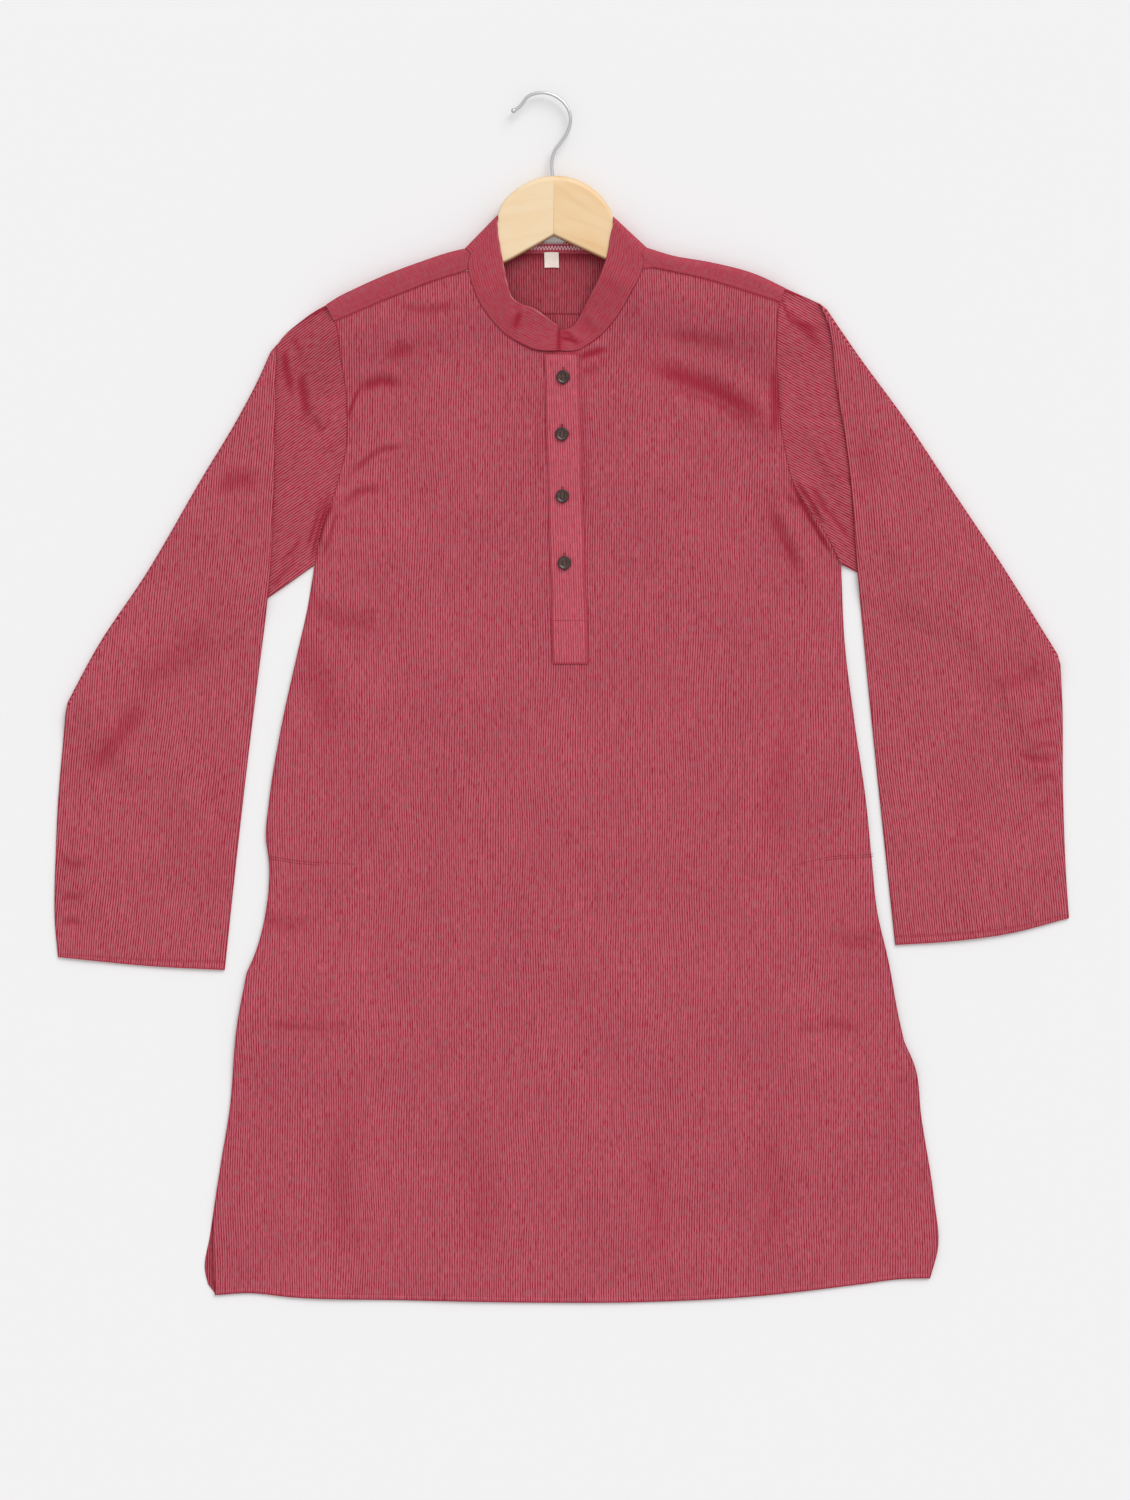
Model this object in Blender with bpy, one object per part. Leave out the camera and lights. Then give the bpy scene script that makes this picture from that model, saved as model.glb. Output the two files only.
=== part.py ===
"""Kurta tunic laid flat on a surface, with a wooden hanger inside its shoulders.

+Z is up from the surface, +Y points to the collar, +X is to the right as seen from above.
All sizes below are in millimetres; the meshes are scaled to metres when they are made.
"""

import math

import bpy
import numpy as np

METRES = 0.001

cloth = 1.2          # one layer of cloth as a wall
seamGap = 0.4        # between neighbouring pieces in the plane of the cloth
layerGap = 0.3       # between cloth layers that lie on each other
bandCloth = 1.8      # the collar is two layers and an interlining
woodThick = 12.0
woodGap = 0.5        # between the wood and the cloth around it
woodBottom = bandCloth + woodGap
frontLow = cloth + layerGap                  # underside of the front where it lies on the back
tentHeight = woodBottom + woodThick + woodGap - frontLow   # how far the hanger lifts the front
tentMargin = 7.0     # the front stays at full height this far past the wood
tentFall = 68.0      # and comes down to the back over this length
bagCloth = 1.0       # pocket bag
bagMargin = 38.0     # the front is lifted by a bag this far past its edge
bagSoft = 40.0
creaseFade = 45.0    # what lifts a sleeve fades out over this length before its crease
sleeveDrop = 26.0    # the folded part comes down to the surface over this length

# Outlines, each a table of points with the columns x, y.

armholeLeft = [(-223.2, 372.4), (-214.7, 356.2), (-209.0, 319.7), (-204.2, 287.4), (-203.3, 259.8),
               (-205.2, 232.3), (-209.9, 213.3), (-216.6, 190.5), (-224.2, 169.6), (-230.8, 144.9),
               (-234.2, 124.0)]
sideLeft = [(-234.2, 124.0), (-241.3, 82.2), (-248.9, 48.0), (-264.1, -20.4), (-277.4, -100.2),
            (-280.2, -134.4), (-277.4, -154.4), (-280.2, -202.8), (-292.6, -248.4), (-298.3, -260.8)]
ventLeft = [(-298.3, -260.8), (-306.8, -305.4), (-315.4, -396.6), (-323.0, -442.2),
            (-330.6, -501.1), (-328.7, -567.6)]
ventLeftBack = [(-298.3, -260.8), (-306.8, -305.4), (-315.4, -396.6), (-323.0, -442.2),
                (-333.4, -510.6), (-338.2, -544.8), (-335.3, -557.2)]
armholeRight = [(212.8, 388.5), (207.6, 374.3), (205.2, 342.5), (206.1, 296.9), (209.0, 259.8),
                (214.7, 227.5), (220.4, 204.7), (231.8, 183.8), (247.9, 161.0), (266.0, 124.9)]
sideRight = [(266.0, 124.9), (269.8, 48.0), (278.3, -20.4), (289.8, -100.2), (295.4, -157.2),
             (300.2, -202.8), (310.6, -248.4), (321.1, -305.4), (325.8, -326.3)]
ventRight = [(325.8, -326.3), (336.3, -351.0), (342.0, -396.6), (354.3, -476.4),
             (358.1, -522.0), (350.6, -551.5)]
hemLine = [(-328.7, -567.6), (-295.4, -565.7), (-257.4, -569.5), (-152.9, -572.4), (-0.9, -574.8),
           (75.0, -574.3), (185.2, -568.6), (285.0, -557.2), (322.1, -552.4), (350.6, -551.5)]

shoulderLeft = [(-223.2, 372.4), (-213.8, 378.6), (-190.9, 390.0), (-165.3, 401.4),
                (-134.9, 412.8), (-98.8, 424.2), (-91.7, 425.3)]
shoulderRight = [(82.5, 425.9), (105.4, 419.4), (142.5, 412.8), (185.2, 401.4), (212.8, 388.5)]
yokeSeamLeft = [(-214.7, 356.2), (-154.8, 381.4), (-113.0, 397.1), (-89.3, 404.2)]
yokeSeamRight = [(79.8, 409.0), (103.5, 403.8), (132.0, 397.6), (173.8, 385.2), (207.6, 374.3)]
backSeam = [(-214.9, 357.5), (-105.4, 362.4), (-6.6, 363.8), (94.0, 362.4), (205.0, 360.5)]

# Collar stations from the left front end round the neck to the right front end: the columns are
# seam x, seam y, edge x, edge y. The fold over each side of the neck lies between the tables.
collarLeft = [(-3.8, 328.7, -2.8, 352.9), (-23.8, 330.1, -14.2, 361.5), (-37.5, 335.8, -25.6, 369.1),
              (-53.2, 345.3, -37.0, 373.2), (-65.5, 357.7, -45.6, 378.6), (-77.0, 373.8, -50.3, 390.9),
              (-84.5, 390.9, -53.7, 407.1), (-87.9, 405.2, -56.6, 422.3), (-87.9, 412.8, -58.4, 436.0)]
collarFoldLeft = (-91.2, 426.1, -59.9, 458.0)
collarBack = [(-78.0, 420.8, -46.0, 453.0), (-40.0, 421.4, -25.0, 440.5), (-6.9, 421.6, -6.9, 431.6),
              (26.0, 421.4, 12.0, 440.5), (69.0, 420.8, 36.5, 453.0)]
collarFoldRight = (81.7, 426.5, 49.4, 456.5)
collarRight = [(78.4, 413.7, 46.6, 438.4), (77.5, 406.1, 43.7, 419.4), (72.2, 393.8, 39.9, 408.0),
               (64.6, 380.5, 34.2, 393.8), (55.1, 364.3, 27.5, 381.4), (43.7, 350.1, 21.8, 370.0),
               (29.4, 337.7, 15.2, 357.7), (15.2, 329.6, 7.6, 350.6), (-1.9, 329.2, -3.9, 349.1),
               (-15.0, 330.2, -14.0, 350.0)]
collarOverlap = bandCloth + layerGap

# Sleeves: outlines of the part under the fold and of the part folded over the front.
sleeveLeft = {
    "shoulder": [(-223.7, 372.0), (-232.8, 367.2), (-248.9, 355.8), (-262.2, 344.4), (-269.8, 334.9)],
    "under": [(-235.1, 125.9), (-278.3, 94.5), (-370.0, 42.5), (-470.2, -13.8)],
    "crease": [(-269.8, 334.9), (-285.9, 298.8), (-304.0, 264.6), (-338.2, 207.6), (-391.4, 116.4),
               (-437.0, 48.0), (-470.2, -13.8)],
    "inner": [(-269.8, 334.9), (-278.3, 93.6), (-286.9, 25.2), (-295.4, -43.2), (-309.7, -168.6),
              (-319.2, -258.9)],
    "outer": [(-470.2, -13.8), (-474.0, -54.6), (-477.8, -100.2), (-479.8, -145.8), (-480.7, -214.2),
              (-477.8, -246.5)],
    "cuff": [(-319.2, -258.9), (-390.4, -255.1), (-459.8, -248.4), (-477.8, -246.5)],
    "armhole": armholeLeft,
    "out": -1.0,
}
sleeveRight = {
    "shoulder": [(213.5, 388.3), (235.6, 378.6), (245.1, 374.3)],
    "under": [(267.2, 127.2), (350.6, 84.0), (412.0, 57.5), (474.0, 31.8)],
    "crease": [(245.1, 374.3), (281.2, 321.6), (323.0, 264.6), (368.6, 196.2), (414.2, 127.8),
               (456.9, 59.4), (474.0, 31.8)],
    "inner": [(245.1, 374.3), (252.7, 356.7), (261.2, 296.9), (270.8, 238.9), (281.2, 121.1),
              (293.6, -9.0), (307.8, -145.8), (317.3, -235.1)],
    "outer": [(474.0, 31.8), (475.9, 2.4), (476.9, -88.8), (479.8, -168.6), (482.6, -209.5)],
    "cuff": [(317.3, -235.1), (369.5, -232.3), (424.6, -225.6), (482.6, -211.4)],
    "armhole": armholeRight,
    "out": 1.0,
}

# Largest folds, as soft ridges: the columns are x, y at each end, half width, height.
frontFolds = [(-203.0, 264.0, -162.0, 322.0, 14.0, 2.6), (-226.0, 147.0, -212.0, 190.0, 12.0, 3.2),
              (148.0, 312.0, 204.0, 252.0, 13.0, 2.8), (226.0, 208.0, 262.0, 134.0, 12.0, 3.6),
              (214.0, 182.0, 240.0, 110.0, 13.0, 2.4), (-120.0, 60.0, -90.0, -160.0, 26.0, 1.6),
              (110.0, 80.0, 150.0, -180.0, 28.0, 1.8), (-30.0, -120.0, -50.0, -400.0, 30.0, 1.4),
              (200.0, -260.0, 236.0, -480.0, 26.0, 1.8), (-250.0, -300.0, -262.0, -500.0, 24.0, 1.8)]
underFolds = [(-222.0, 312.0, -228.0, 262.0, 12.0, 2.4), (236.0, 262.0, 276.0, 176.0, 12.0, 2.8),
              (222.0, 372.0, 244.0, 340.0, 9.0, 2.0)]
sleeveFolds = [(-340.0, 196.0, -300.0, 214.0, 12.0, 2.2), (-452.0, -4.0, -404.0, -70.0, 14.0, 3.0),
               (-466.0, -120.0, -440.0, -205.0, 11.0, 2.4), (-390.0, 20.0, -330.0, -200.0, 26.0, 2.0),
               (392.0, 60.0, 470.0, -64.0, 15.0, 3.2), (440.0, -70.0, 474.0, -66.0, 9.0, 2.4),
               (300.0, 180.0, 330.0, 110.0, 14.0, 2.0), (350.0, 10.0, 385.0, -190.0, 26.0, 2.0)]

# Pocket bags between the panels, as x, y corners from the side seam inwards.
bagLeft = [(-258.5, -6.0), (-219.4, -10.9), (-186.2, -311.1), (-286.0, -311.1), (-276.0, -210.0),
           (-274.0, -120.0)]
bagRight = [(270.5, -6.0), (219.4, -10.9), (222.3, -311.1), (311.0, -311.1), (297.0, -210.0),
            (287.0, -120.0)]

placketTop = (-16.5, 17.3, 326.6)       # left x, right x, y
placketBottom = (-7.8, 26.0, 31.4)
placketCloth = 1.4
buttonTable = [(2.0, 304.1), (0.9, 250.0), (1.3, 191.1), (3.3, 127.7)]
buttonWide = 12.8
buttonThick = 2.2
labelWide, labelLong, labelThick = 13.6, 14.5, 0.6
labelTop = (-9.1, 422.6)

# Hanger plan: the mitre, the neck and the arms. The columns are upper x, y and lower x, y.
mitreX = -6.9
woodLeft = [(mitreX - 0.15, 495.0, mitreX - 0.15, 437.5), (-20.0, 493.1, -20.0, 430.1),
            (-34.0, 487.4, -34.0, 422.3), (-47.0, 478.2, -46.0, 415.6), (-56.2, 467.9, -55.0, 411.0),
            (-55.6, 462.4, -60.0, 408.2), (-51.4, 453.6, -66.0, 405.2), (-70.0, 440.2, -80.0, 399.0),
            (-81.0, 430.0, -92.0, 394.2), (-91.0, 421.2, -103.0, 390.2), (-105.0, 417.9, -114.0, 386.2),
            (-128.0, 411.8, -136.0, 378.8), (-158.0, 401.2, -166.0, 369.4), (-186.0, 389.4, -192.0, 360.6),
            (-206.0, 379.6, -209.0, 356.4), (-212.6, 374.4, -213.4, 361.6)]
woodRight = [(mitreX + 0.15, 495.0, mitreX + 0.15, 437.5), (8.0, 493.3, 8.0, 430.6),
             (22.0, 487.8, 22.0, 424.1), (34.6, 478.7, 34.0, 418.6), (43.8, 467.5, 44.0, 414.0),
             (45.4, 461.4, 49.0, 411.8), (41.3, 453.6, 56.0, 409.0), (59.5, 440.4, 71.0, 403.6),
             (71.0, 430.2, 83.0, 400.0), (81.0, 421.4, 93.0, 397.0), (94.0, 418.0, 103.0, 394.0),
             (118.0, 413.6, 126.0, 387.6), (148.0, 407.4, 152.0, 379.0), (176.0, 399.8, 178.0, 370.2),
             (194.0, 392.4, 193.0, 365.2), (201.4, 388.4, 199.2, 372.2)]
wireWide = 3.1
hookTable = [(-8.2, 478.0), (-8.2, 495.4), (-8.7, 508.2), (-5.5, 519.2), (-0.4, 526.0), (5.4, 534.7),
             (9.1, 548.4), (7.7, 555.9), (-1.5, 567.8), (-16.5, 573.5), (-30.9, 570.1), (-39.5, 560.0),
             (-47.0, 555.1)]
hookTip = 1.3        # the rounded tip is this much fatter than the wire
hookStep = 5.0
hookHoleLong = 30.0
buttonHole = 1.5
buttonHoleOut = 1.5  # hole centres from the middle, along x and y


def smooth(t):
    t = np.clip(t, 0.0, 1.0)
    return t * t * (3.0 - 2.0 * t)


def through(table, t):
    """Smooth curve through a table's points at fractions t of its length (cubic between points)."""
    knots = np.asarray(table, float)
    t = np.asarray(t, float)
    if len(knots) == 2:
        return knots[0] + t[..., None] * (knots[1] - knots[0])
    chord = np.concatenate([[0.0], np.cumsum(np.linalg.norm(np.diff(knots, axis=0), axis=1))])
    slope = np.gradient(knots, chord, axis=0)
    at = t * chord[-1]
    k = np.clip(np.searchsorted(chord, at, side="right") - 1, 0, len(knots) - 2)
    step = (chord[k + 1] - chord[k])
    w = (at - chord[k]) / step
    step = step[..., None]
    w = w[..., None]
    return ((2 * w**3 - 3 * w**2 + 1) * knots[k] + (w**3 - 2 * w**2 + w) * step * slope[k]
            + (3 * w**2 - 2 * w**3) * knots[k + 1] + (w**3 - w**2) * step * slope[k + 1])


def shifted(table, distance):
    """A table moved sideways, to the left of its direction."""
    knots = np.asarray(table, float)
    along = np.gradient(knots, axis=0)
    along /= np.linalg.norm(along, axis=1)[:, None]
    return knots + distance * np.stack([-along[:, 1], along[:, 0]], -1)


def patch(first, last, start, end):
    """Coons surface between four curves: P(q, v), with first and last at v = 0 and 1."""
    def at(q, v):
        q, v = np.broadcast_arrays(np.asarray(q, float), np.asarray(v, float))
        a, b = through(first, q), through(last, q)
        c, d = through(start, v), through(end, v)
        q, v = q[..., None], v[..., None]
        corners = ((1 - q) * (1 - v) * np.asarray(first[0]) + q * (1 - v) * np.asarray(first[-1])
                   + (1 - q) * v * np.asarray(last[0]) + q * v * np.asarray(last[-1]))
        return (1 - v) * a + v * b + (1 - q) * c + q * d - corners
    return at


def filled(top, bottom, left, right, across, down):
    """Coons grid between four rows of points, blended by the fractions across and down."""
    u, v = across[None, :, None], down[:, None, None]
    corners = ((1 - u) * (1 - v) * top[0] + u * (1 - v) * top[-1]
               + (1 - u) * v * bottom[0] + u * v * bottom[-1])
    return ((1 - v) * top[None] + v * bottom[None] + (1 - u) * left[:, None] + u * right[:, None]
            - corners)


def distance_to(outline, points):
    """How far points lie outside a closed outline, and 0 inside it."""
    a = np.asarray(outline, float)
    b = np.roll(a, -1, axis=0)
    flat = points.reshape(-1, 2)
    run = b - a
    w = np.clip(((flat[:, None] - a) * run).sum(-1) / (run**2).sum(-1), 0, 1)
    near = np.linalg.norm(flat[:, None] - (a + w[..., None] * run), axis=-1).min(1)
    above = (a[:, 1] > flat[:, None, 1]) != (b[:, 1] > flat[:, None, 1])
    rise = np.where(b[:, 1] == a[:, 1], 1.0, b[:, 1] - a[:, 1])
    crossing = a[:, 0] + (flat[:, None, 1] - a[:, 1]) / rise * (b[:, 0] - a[:, 0])
    inside = (above & (flat[:, None, 0] < crossing)).sum(1) % 2 == 1
    return np.where(inside, 0.0, near).reshape(points.shape[:-1])


def hanger_outline():
    left = np.asarray(woodLeft)
    right = np.asarray(woodRight)
    return np.concatenate([left[::-1, :2], right[:, :2], right[::-1, 2:], left[:, 2:]])


def tent(points):
    """Lift of the front cloth over the hanger, coming down smoothly past it."""
    far = distance_to(hanger_outline(), points)
    return tentHeight * (1.0 - smooth((far - tentMargin) / tentFall))


def ridges(points, table):
    """Sum of soft ridges along straight lines, each fading at its ends."""
    lift = np.zeros(points.shape[:-1])
    for x0, y0, x1, y1, half, height in table:
        run = np.array([x1 - x0, y1 - y0])
        long = np.linalg.norm(run)
        away = points - np.array([x0, y0])
        along = away @ run / long**2
        side = (away[..., 0] * run[1] - away[..., 1] * run[0]) / long
        ends = smooth((along + 0.25) / 0.4) * smooth((1.25 - along) / 0.4)
        lift = lift + height * np.exp(-((side / half) ** 2)) * ends
    return lift


def bag_lift(points):
    """The front is lifted by the pocket bags that lie under it."""
    lift = np.zeros(points.shape[:-1])
    for corners in (bagLeft, bagRight):
        far = distance_to(corners, points)
        lift = np.maximum(lift, (bagCloth + layerGap) * (1.0 - smooth((far - bagMargin) / bagSoft)))
    return lift


def front_lift(points):
    return tent(points) + bag_lift(points) + ridges(points, frontFolds + underFolds)


def at_height(plan, z):
    z = np.broadcast_to(np.asarray(z, float), plan.shape[:-1])
    return np.concatenate([plan, z[..., None]], axis=-1)


def new_object(name, points, faces, look):
    mesh = bpy.data.meshes.new(name)
    mesh.from_pydata((np.asarray(points) * METRES).tolist(), [], [list(map(int, f)) for f in faces])
    mesh.update()
    volume = sum(p.center.dot(p.normal) * p.area for p in mesh.polygons)
    if volume < 0:
        mesh.flip_normals()
    mesh.shade_smooth()
    mesh.set_sharp_from_angle(angle=math.radians(40))
    mesh.materials.append(look)
    made = bpy.data.objects.new(name, mesh)
    bpy.context.scene.collection.objects.link(made)
    return made


def closed_wall(name, low, high, look, cells=None, ring=False):
    """One closed body between two grids of points, over the cells that are kept."""
    rows, cols = low.shape[:2]
    index = np.arange(rows * cols).reshape(rows, cols)
    if ring:
        index = np.concatenate([index, index[:, :1]], axis=1)
    quads = np.stack([index[:-1, :-1], index[:-1, 1:], index[1:, 1:], index[1:, :-1]], axis=-1)
    quads = quads[cells] if cells is not None else quads.reshape(-1, 4)
    count = rows * cols
    edges = np.concatenate([quads[:, [k, (k + 1) % 4]] for k in range(4)])
    known = set(map(tuple, edges.tolist()))
    rim = [(i, j) for i, j in edges.tolist() if (j, i) not in known]
    faces = quads.tolist() + (quads[:, ::-1] + count).tolist()
    faces += [[j, i, i + count, j + count] for i, j in rim]
    points = np.concatenate([low.reshape(-1, 3), high.reshape(-1, 3)])
    used = np.unique(np.concatenate([np.asarray(f) for f in faces]))
    renumber = np.zeros(2 * count, int)
    renumber[used] = np.arange(len(used))
    return new_object(name, points[used], [renumber[f] for f in faces], look)


def loft(name, rings, look):
    """Closed body through rings of points, with a flat cap at each end."""
    rows, count = rings.shape[:2]
    index = np.arange(rows * count).reshape(rows, count)
    after = np.roll(index, -1, axis=1)
    faces = np.stack([index[:-1], after[:-1], after[1:], index[1:]], axis=-1).reshape(-1, 4).tolist()
    faces += [index[0, ::-1].tolist(), index[-1].tolist()]
    return new_object(name, rings.reshape(-1, 3), faces, look)


def finish(name, colour, roughness=0.85, metallic=0.0):
    look = bpy.data.materials.new(name)
    look.use_nodes = True
    shader = look.node_tree.nodes["Principled BSDF"]
    shader.inputs["Base Color"].default_value = (*colour, 1.0)
    shader.inputs["Roughness"].default_value = roughness
    shader.inputs["Metallic"].default_value = metallic
    look.diffuse_color = (*colour, 1.0)
    return look


def side_points(parts, counts):
    """Points down one side: armhole, side seam and vent, with a point on each joint between them.

    The armhole begins at its second point, where the yoke's seam meets it.
    """
    steps = np.linalg.norm(np.diff(np.asarray(parts[0]), axis=0), axis=1)
    starts = (steps[0] / steps.sum(), 0.0, 0.0)
    runs = [through(part, np.linspace(start, 1, n + 1))
            for part, n, start in zip(parts, counts, starts)]
    return np.concatenate([runs[0]] + [run[1:] for run in runs[1:]])


def neck_line(count):
    """The neck edge of the front, just outside the collar's seam."""
    seam = [row[:2] for row in collarLeft[:-1]][::-1] + [row[:2] for row in collarRight[1:-2]][::-1]
    outside = shifted(seam, -2 * seamGap)
    outside[0] = (-88.6, 403.9)
    outside[-1] = (79.0, 408.6)
    return through(outside, np.linspace(0, 1, count + 1))


def front_panel(look):
    down_counts = (14, 10, 8)
    below = np.array([0.0, -seamGap / 2])
    left = side_points((armholeLeft, sideLeft, ventLeft), down_counts) + np.array([seamGap / 2, 0])
    right = side_points((armholeRight, sideRight, ventRight), down_counts) - np.array([seamGap / 2, 0])
    neck = neck_line(16)
    seam_left = through(yokeSeamLeft, np.linspace(0, 1, 8)) + below
    seam_right = through(yokeSeamRight, np.linspace(0, 1, 8)) + below
    top = np.concatenate([seam_left[:-1], neck, seam_right[1:]])
    left[0], right[0] = top[0], top[-1]
    across = np.concatenate([np.linspace(0, 0.30, 8)[:-1], np.linspace(0.30, 0.695, 17),
                             np.linspace(0.695, 1.0, 8)[1:]])
    bottom = through(hemLine, across)
    left[-1], right[-1] = bottom[0], bottom[-1]
    steps = np.linalg.norm(np.diff(left, axis=0), axis=1)
    down = np.concatenate([[0.0], np.cumsum(steps)]) / steps.sum()
    plan = filled(top, bottom, left, right, across, down)
    low = frontLow + front_lift(plan)
    return closed_wall("front_panel", at_height(plan, low), at_height(plan, low + cloth), look)


def back_panel(look):
    down_counts = (14, 8, 8)
    inset = np.array([seamGap / 2, 0])
    left = side_points((armholeLeft, sideLeft, ventLeftBack), down_counts) + inset
    right = side_points((armholeRight, sideRight, ventRight), down_counts) - inset
    across = np.linspace(0, 1, 9)
    top = through(backSeam, across) - np.array([0, seamGap])
    hem = through(hemLine, across) + np.array([0, 1.0])
    left[0], right[0] = top[0], top[-1]
    hem[0], hem[-1] = left[-1], right[-1]
    steps = np.linalg.norm(np.diff(left, axis=0), axis=1)
    down = np.concatenate([[0.0], np.cumsum(steps)]) / steps.sum()
    plan = filled(top, hem, left, right, across, down)
    return closed_wall("back_panel", at_height(plan, 0.0), at_height(plan, cloth), look)


def shoulder_columns(outline, seam, count):
    """Columns of yoke points: up the back, round the shoulder and down to the front seam."""
    turns = np.radians([-90, -60, -30, 0, 30, 60, 90])
    t = np.linspace(0, 1, count)
    edge = through(outline, t)
    along = np.gradient(edge, axis=0)
    along /= np.linalg.norm(along, axis=1)[:, None]
    inward = np.stack([along[:, 1], -along[:, 0]], -1)
    radius = (frontLow + cloth + tent(edge + inward * 8.0)) / 2
    turned = edge + inward * radius[:, None]
    ends = np.clip([seam[0][0], seam[-1][0]], backSeam[0][0], backSeam[-1][0])
    below_x = ends[0] + t * (ends[1] - ends[0])
    below = np.stack([below_x, np.interp(below_x, *np.array(backSeam).T)], -1)
    front = through(seam, t) + np.array([0, seamGap / 2])
    rows_low, rows_high = [], []
    for w in (0.0, 0.35, 0.7):
        plan = below + w * (turned - below)
        rows_high.append(at_height(plan, cloth))
        rows_low.append(at_height(plan, 0.0))
    for turn in turns:
        for rows, r in ((rows_low, radius), (rows_high, radius - cloth)):
            plan = edge + inward * (radius - r * math.cos(turn))[:, None]
            rows.append(at_height(plan, radius + r * math.sin(turn)))
    for w in (0.33, 0.66, 1.0):
        plan = turned + w * (front - turned)
        lift = frontLow + tent(plan)
        rows_low.append(at_height(plan, lift + cloth))
        rows_high.append(at_height(plan, lift))
    return np.stack(rows_low), np.stack(rows_high)


def yoke(look):
    """Back part flat on the surface, both shoulders wrapped over the hanger to the front seams."""
    left_outer, left_inner = shoulder_columns(shoulderLeft, yokeSeamLeft, 11)
    right_outer, right_inner = shoulder_columns(shoulderRight, yokeSeamRight, 11)
    rows = left_outer.shape[0]
    back_rows = 4
    neck_x = np.linspace(0, 1, 11)[1:-1]
    start, end = left_outer[back_rows - 1, -1, :2], right_outer[back_rows - 1, 0, :2]
    dip = np.array([(0.0, start[1]), (0.06, 420.2), (0.5, 420.6), (0.94, 420.2), (1.0, end[1])])
    upper_x = start[0] + neck_x * (end[0] - start[0])
    upper = np.stack([upper_x, np.interp(neck_x, *dip.T)], -1)
    lower = np.stack([upper_x, np.interp(upper_x, *np.array(backSeam).T)], -1)
    neck_low = np.zeros((rows, len(neck_x), 3))
    neck_high = np.zeros((rows, len(neck_x), 3))
    for row, w in enumerate((0.0, 0.35, 0.7, 1.0)):
        plan = lower + w * (upper - lower)
        neck_low[row] = at_height(plan, 0.0)
        neck_high[row] = at_height(plan, cloth)
    outer = np.concatenate([left_outer, neck_low, right_outer], axis=1)
    inner = np.concatenate([left_inner, neck_high, right_inner], axis=1)
    cells = np.ones((rows - 1, outer.shape[1] - 1), bool)
    cells[back_rows - 1:, left_outer.shape[1] - 1:left_outer.shape[1] + len(neck_x)] = False
    return closed_wall("yoke", outer, inner, look, cells)


def collar(look):
    """Standing band laid flat: front strips over the hanger, side folds, back strip under it."""
    turns = np.radians([90, 60, 30, 0, -30, -60, -90])
    across = np.linspace(0, 1, 5)
    top_radius = (frontLow + tentHeight + bandCloth) / 2
    inner_rows, outer_rows = [], []

    def flat_station(row, on_front, raised=0.0):
        seam, edge = np.array(row[:2]), np.array(row[2:])
        plan = seam + across[:, None] * (edge - seam)
        if on_front:
            low = frontLow + tent(plan) + raised
            inner_rows.append(at_height(plan, low))
            outer_rows.append(at_height(plan, low + bandCloth))
        else:
            inner_rows.append(at_height(plan, bandCloth))
            outer_rows.append(at_height(plan, 0.0))

    def fold(row, sense, order):
        seam, edge = np.array(row[:2]), np.array(row[2:])
        run = (edge - seam) / np.linalg.norm(edge - seam)
        inward = sense * np.array([run[1], -run[0]])
        for turn in order:
            for rows, r in ((outer_rows, top_radius), (inner_rows, top_radius - bandCloth)):
                shift = top_radius - r * math.cos(turn)
                plan = seam + inward * shift + across[:, None] * (edge - seam)
                rows.append(at_height(plan, top_radius + r * math.sin(turn)))

    for k, row in enumerate(collarLeft):
        flat_station(row, True, collarOverlap * (1 - float(smooth((k - 1) / 3.0))))
    fold(collarFoldLeft, 1.0, turns)
    for row in collarBack:
        flat_station(row, False)
    fold(collarFoldRight, -1.0, turns[::-1])
    for row in collarRight:
        flat_station(row, True)
    return closed_wall("collar", np.stack(inner_rows), np.stack(outer_rows), look)


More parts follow.
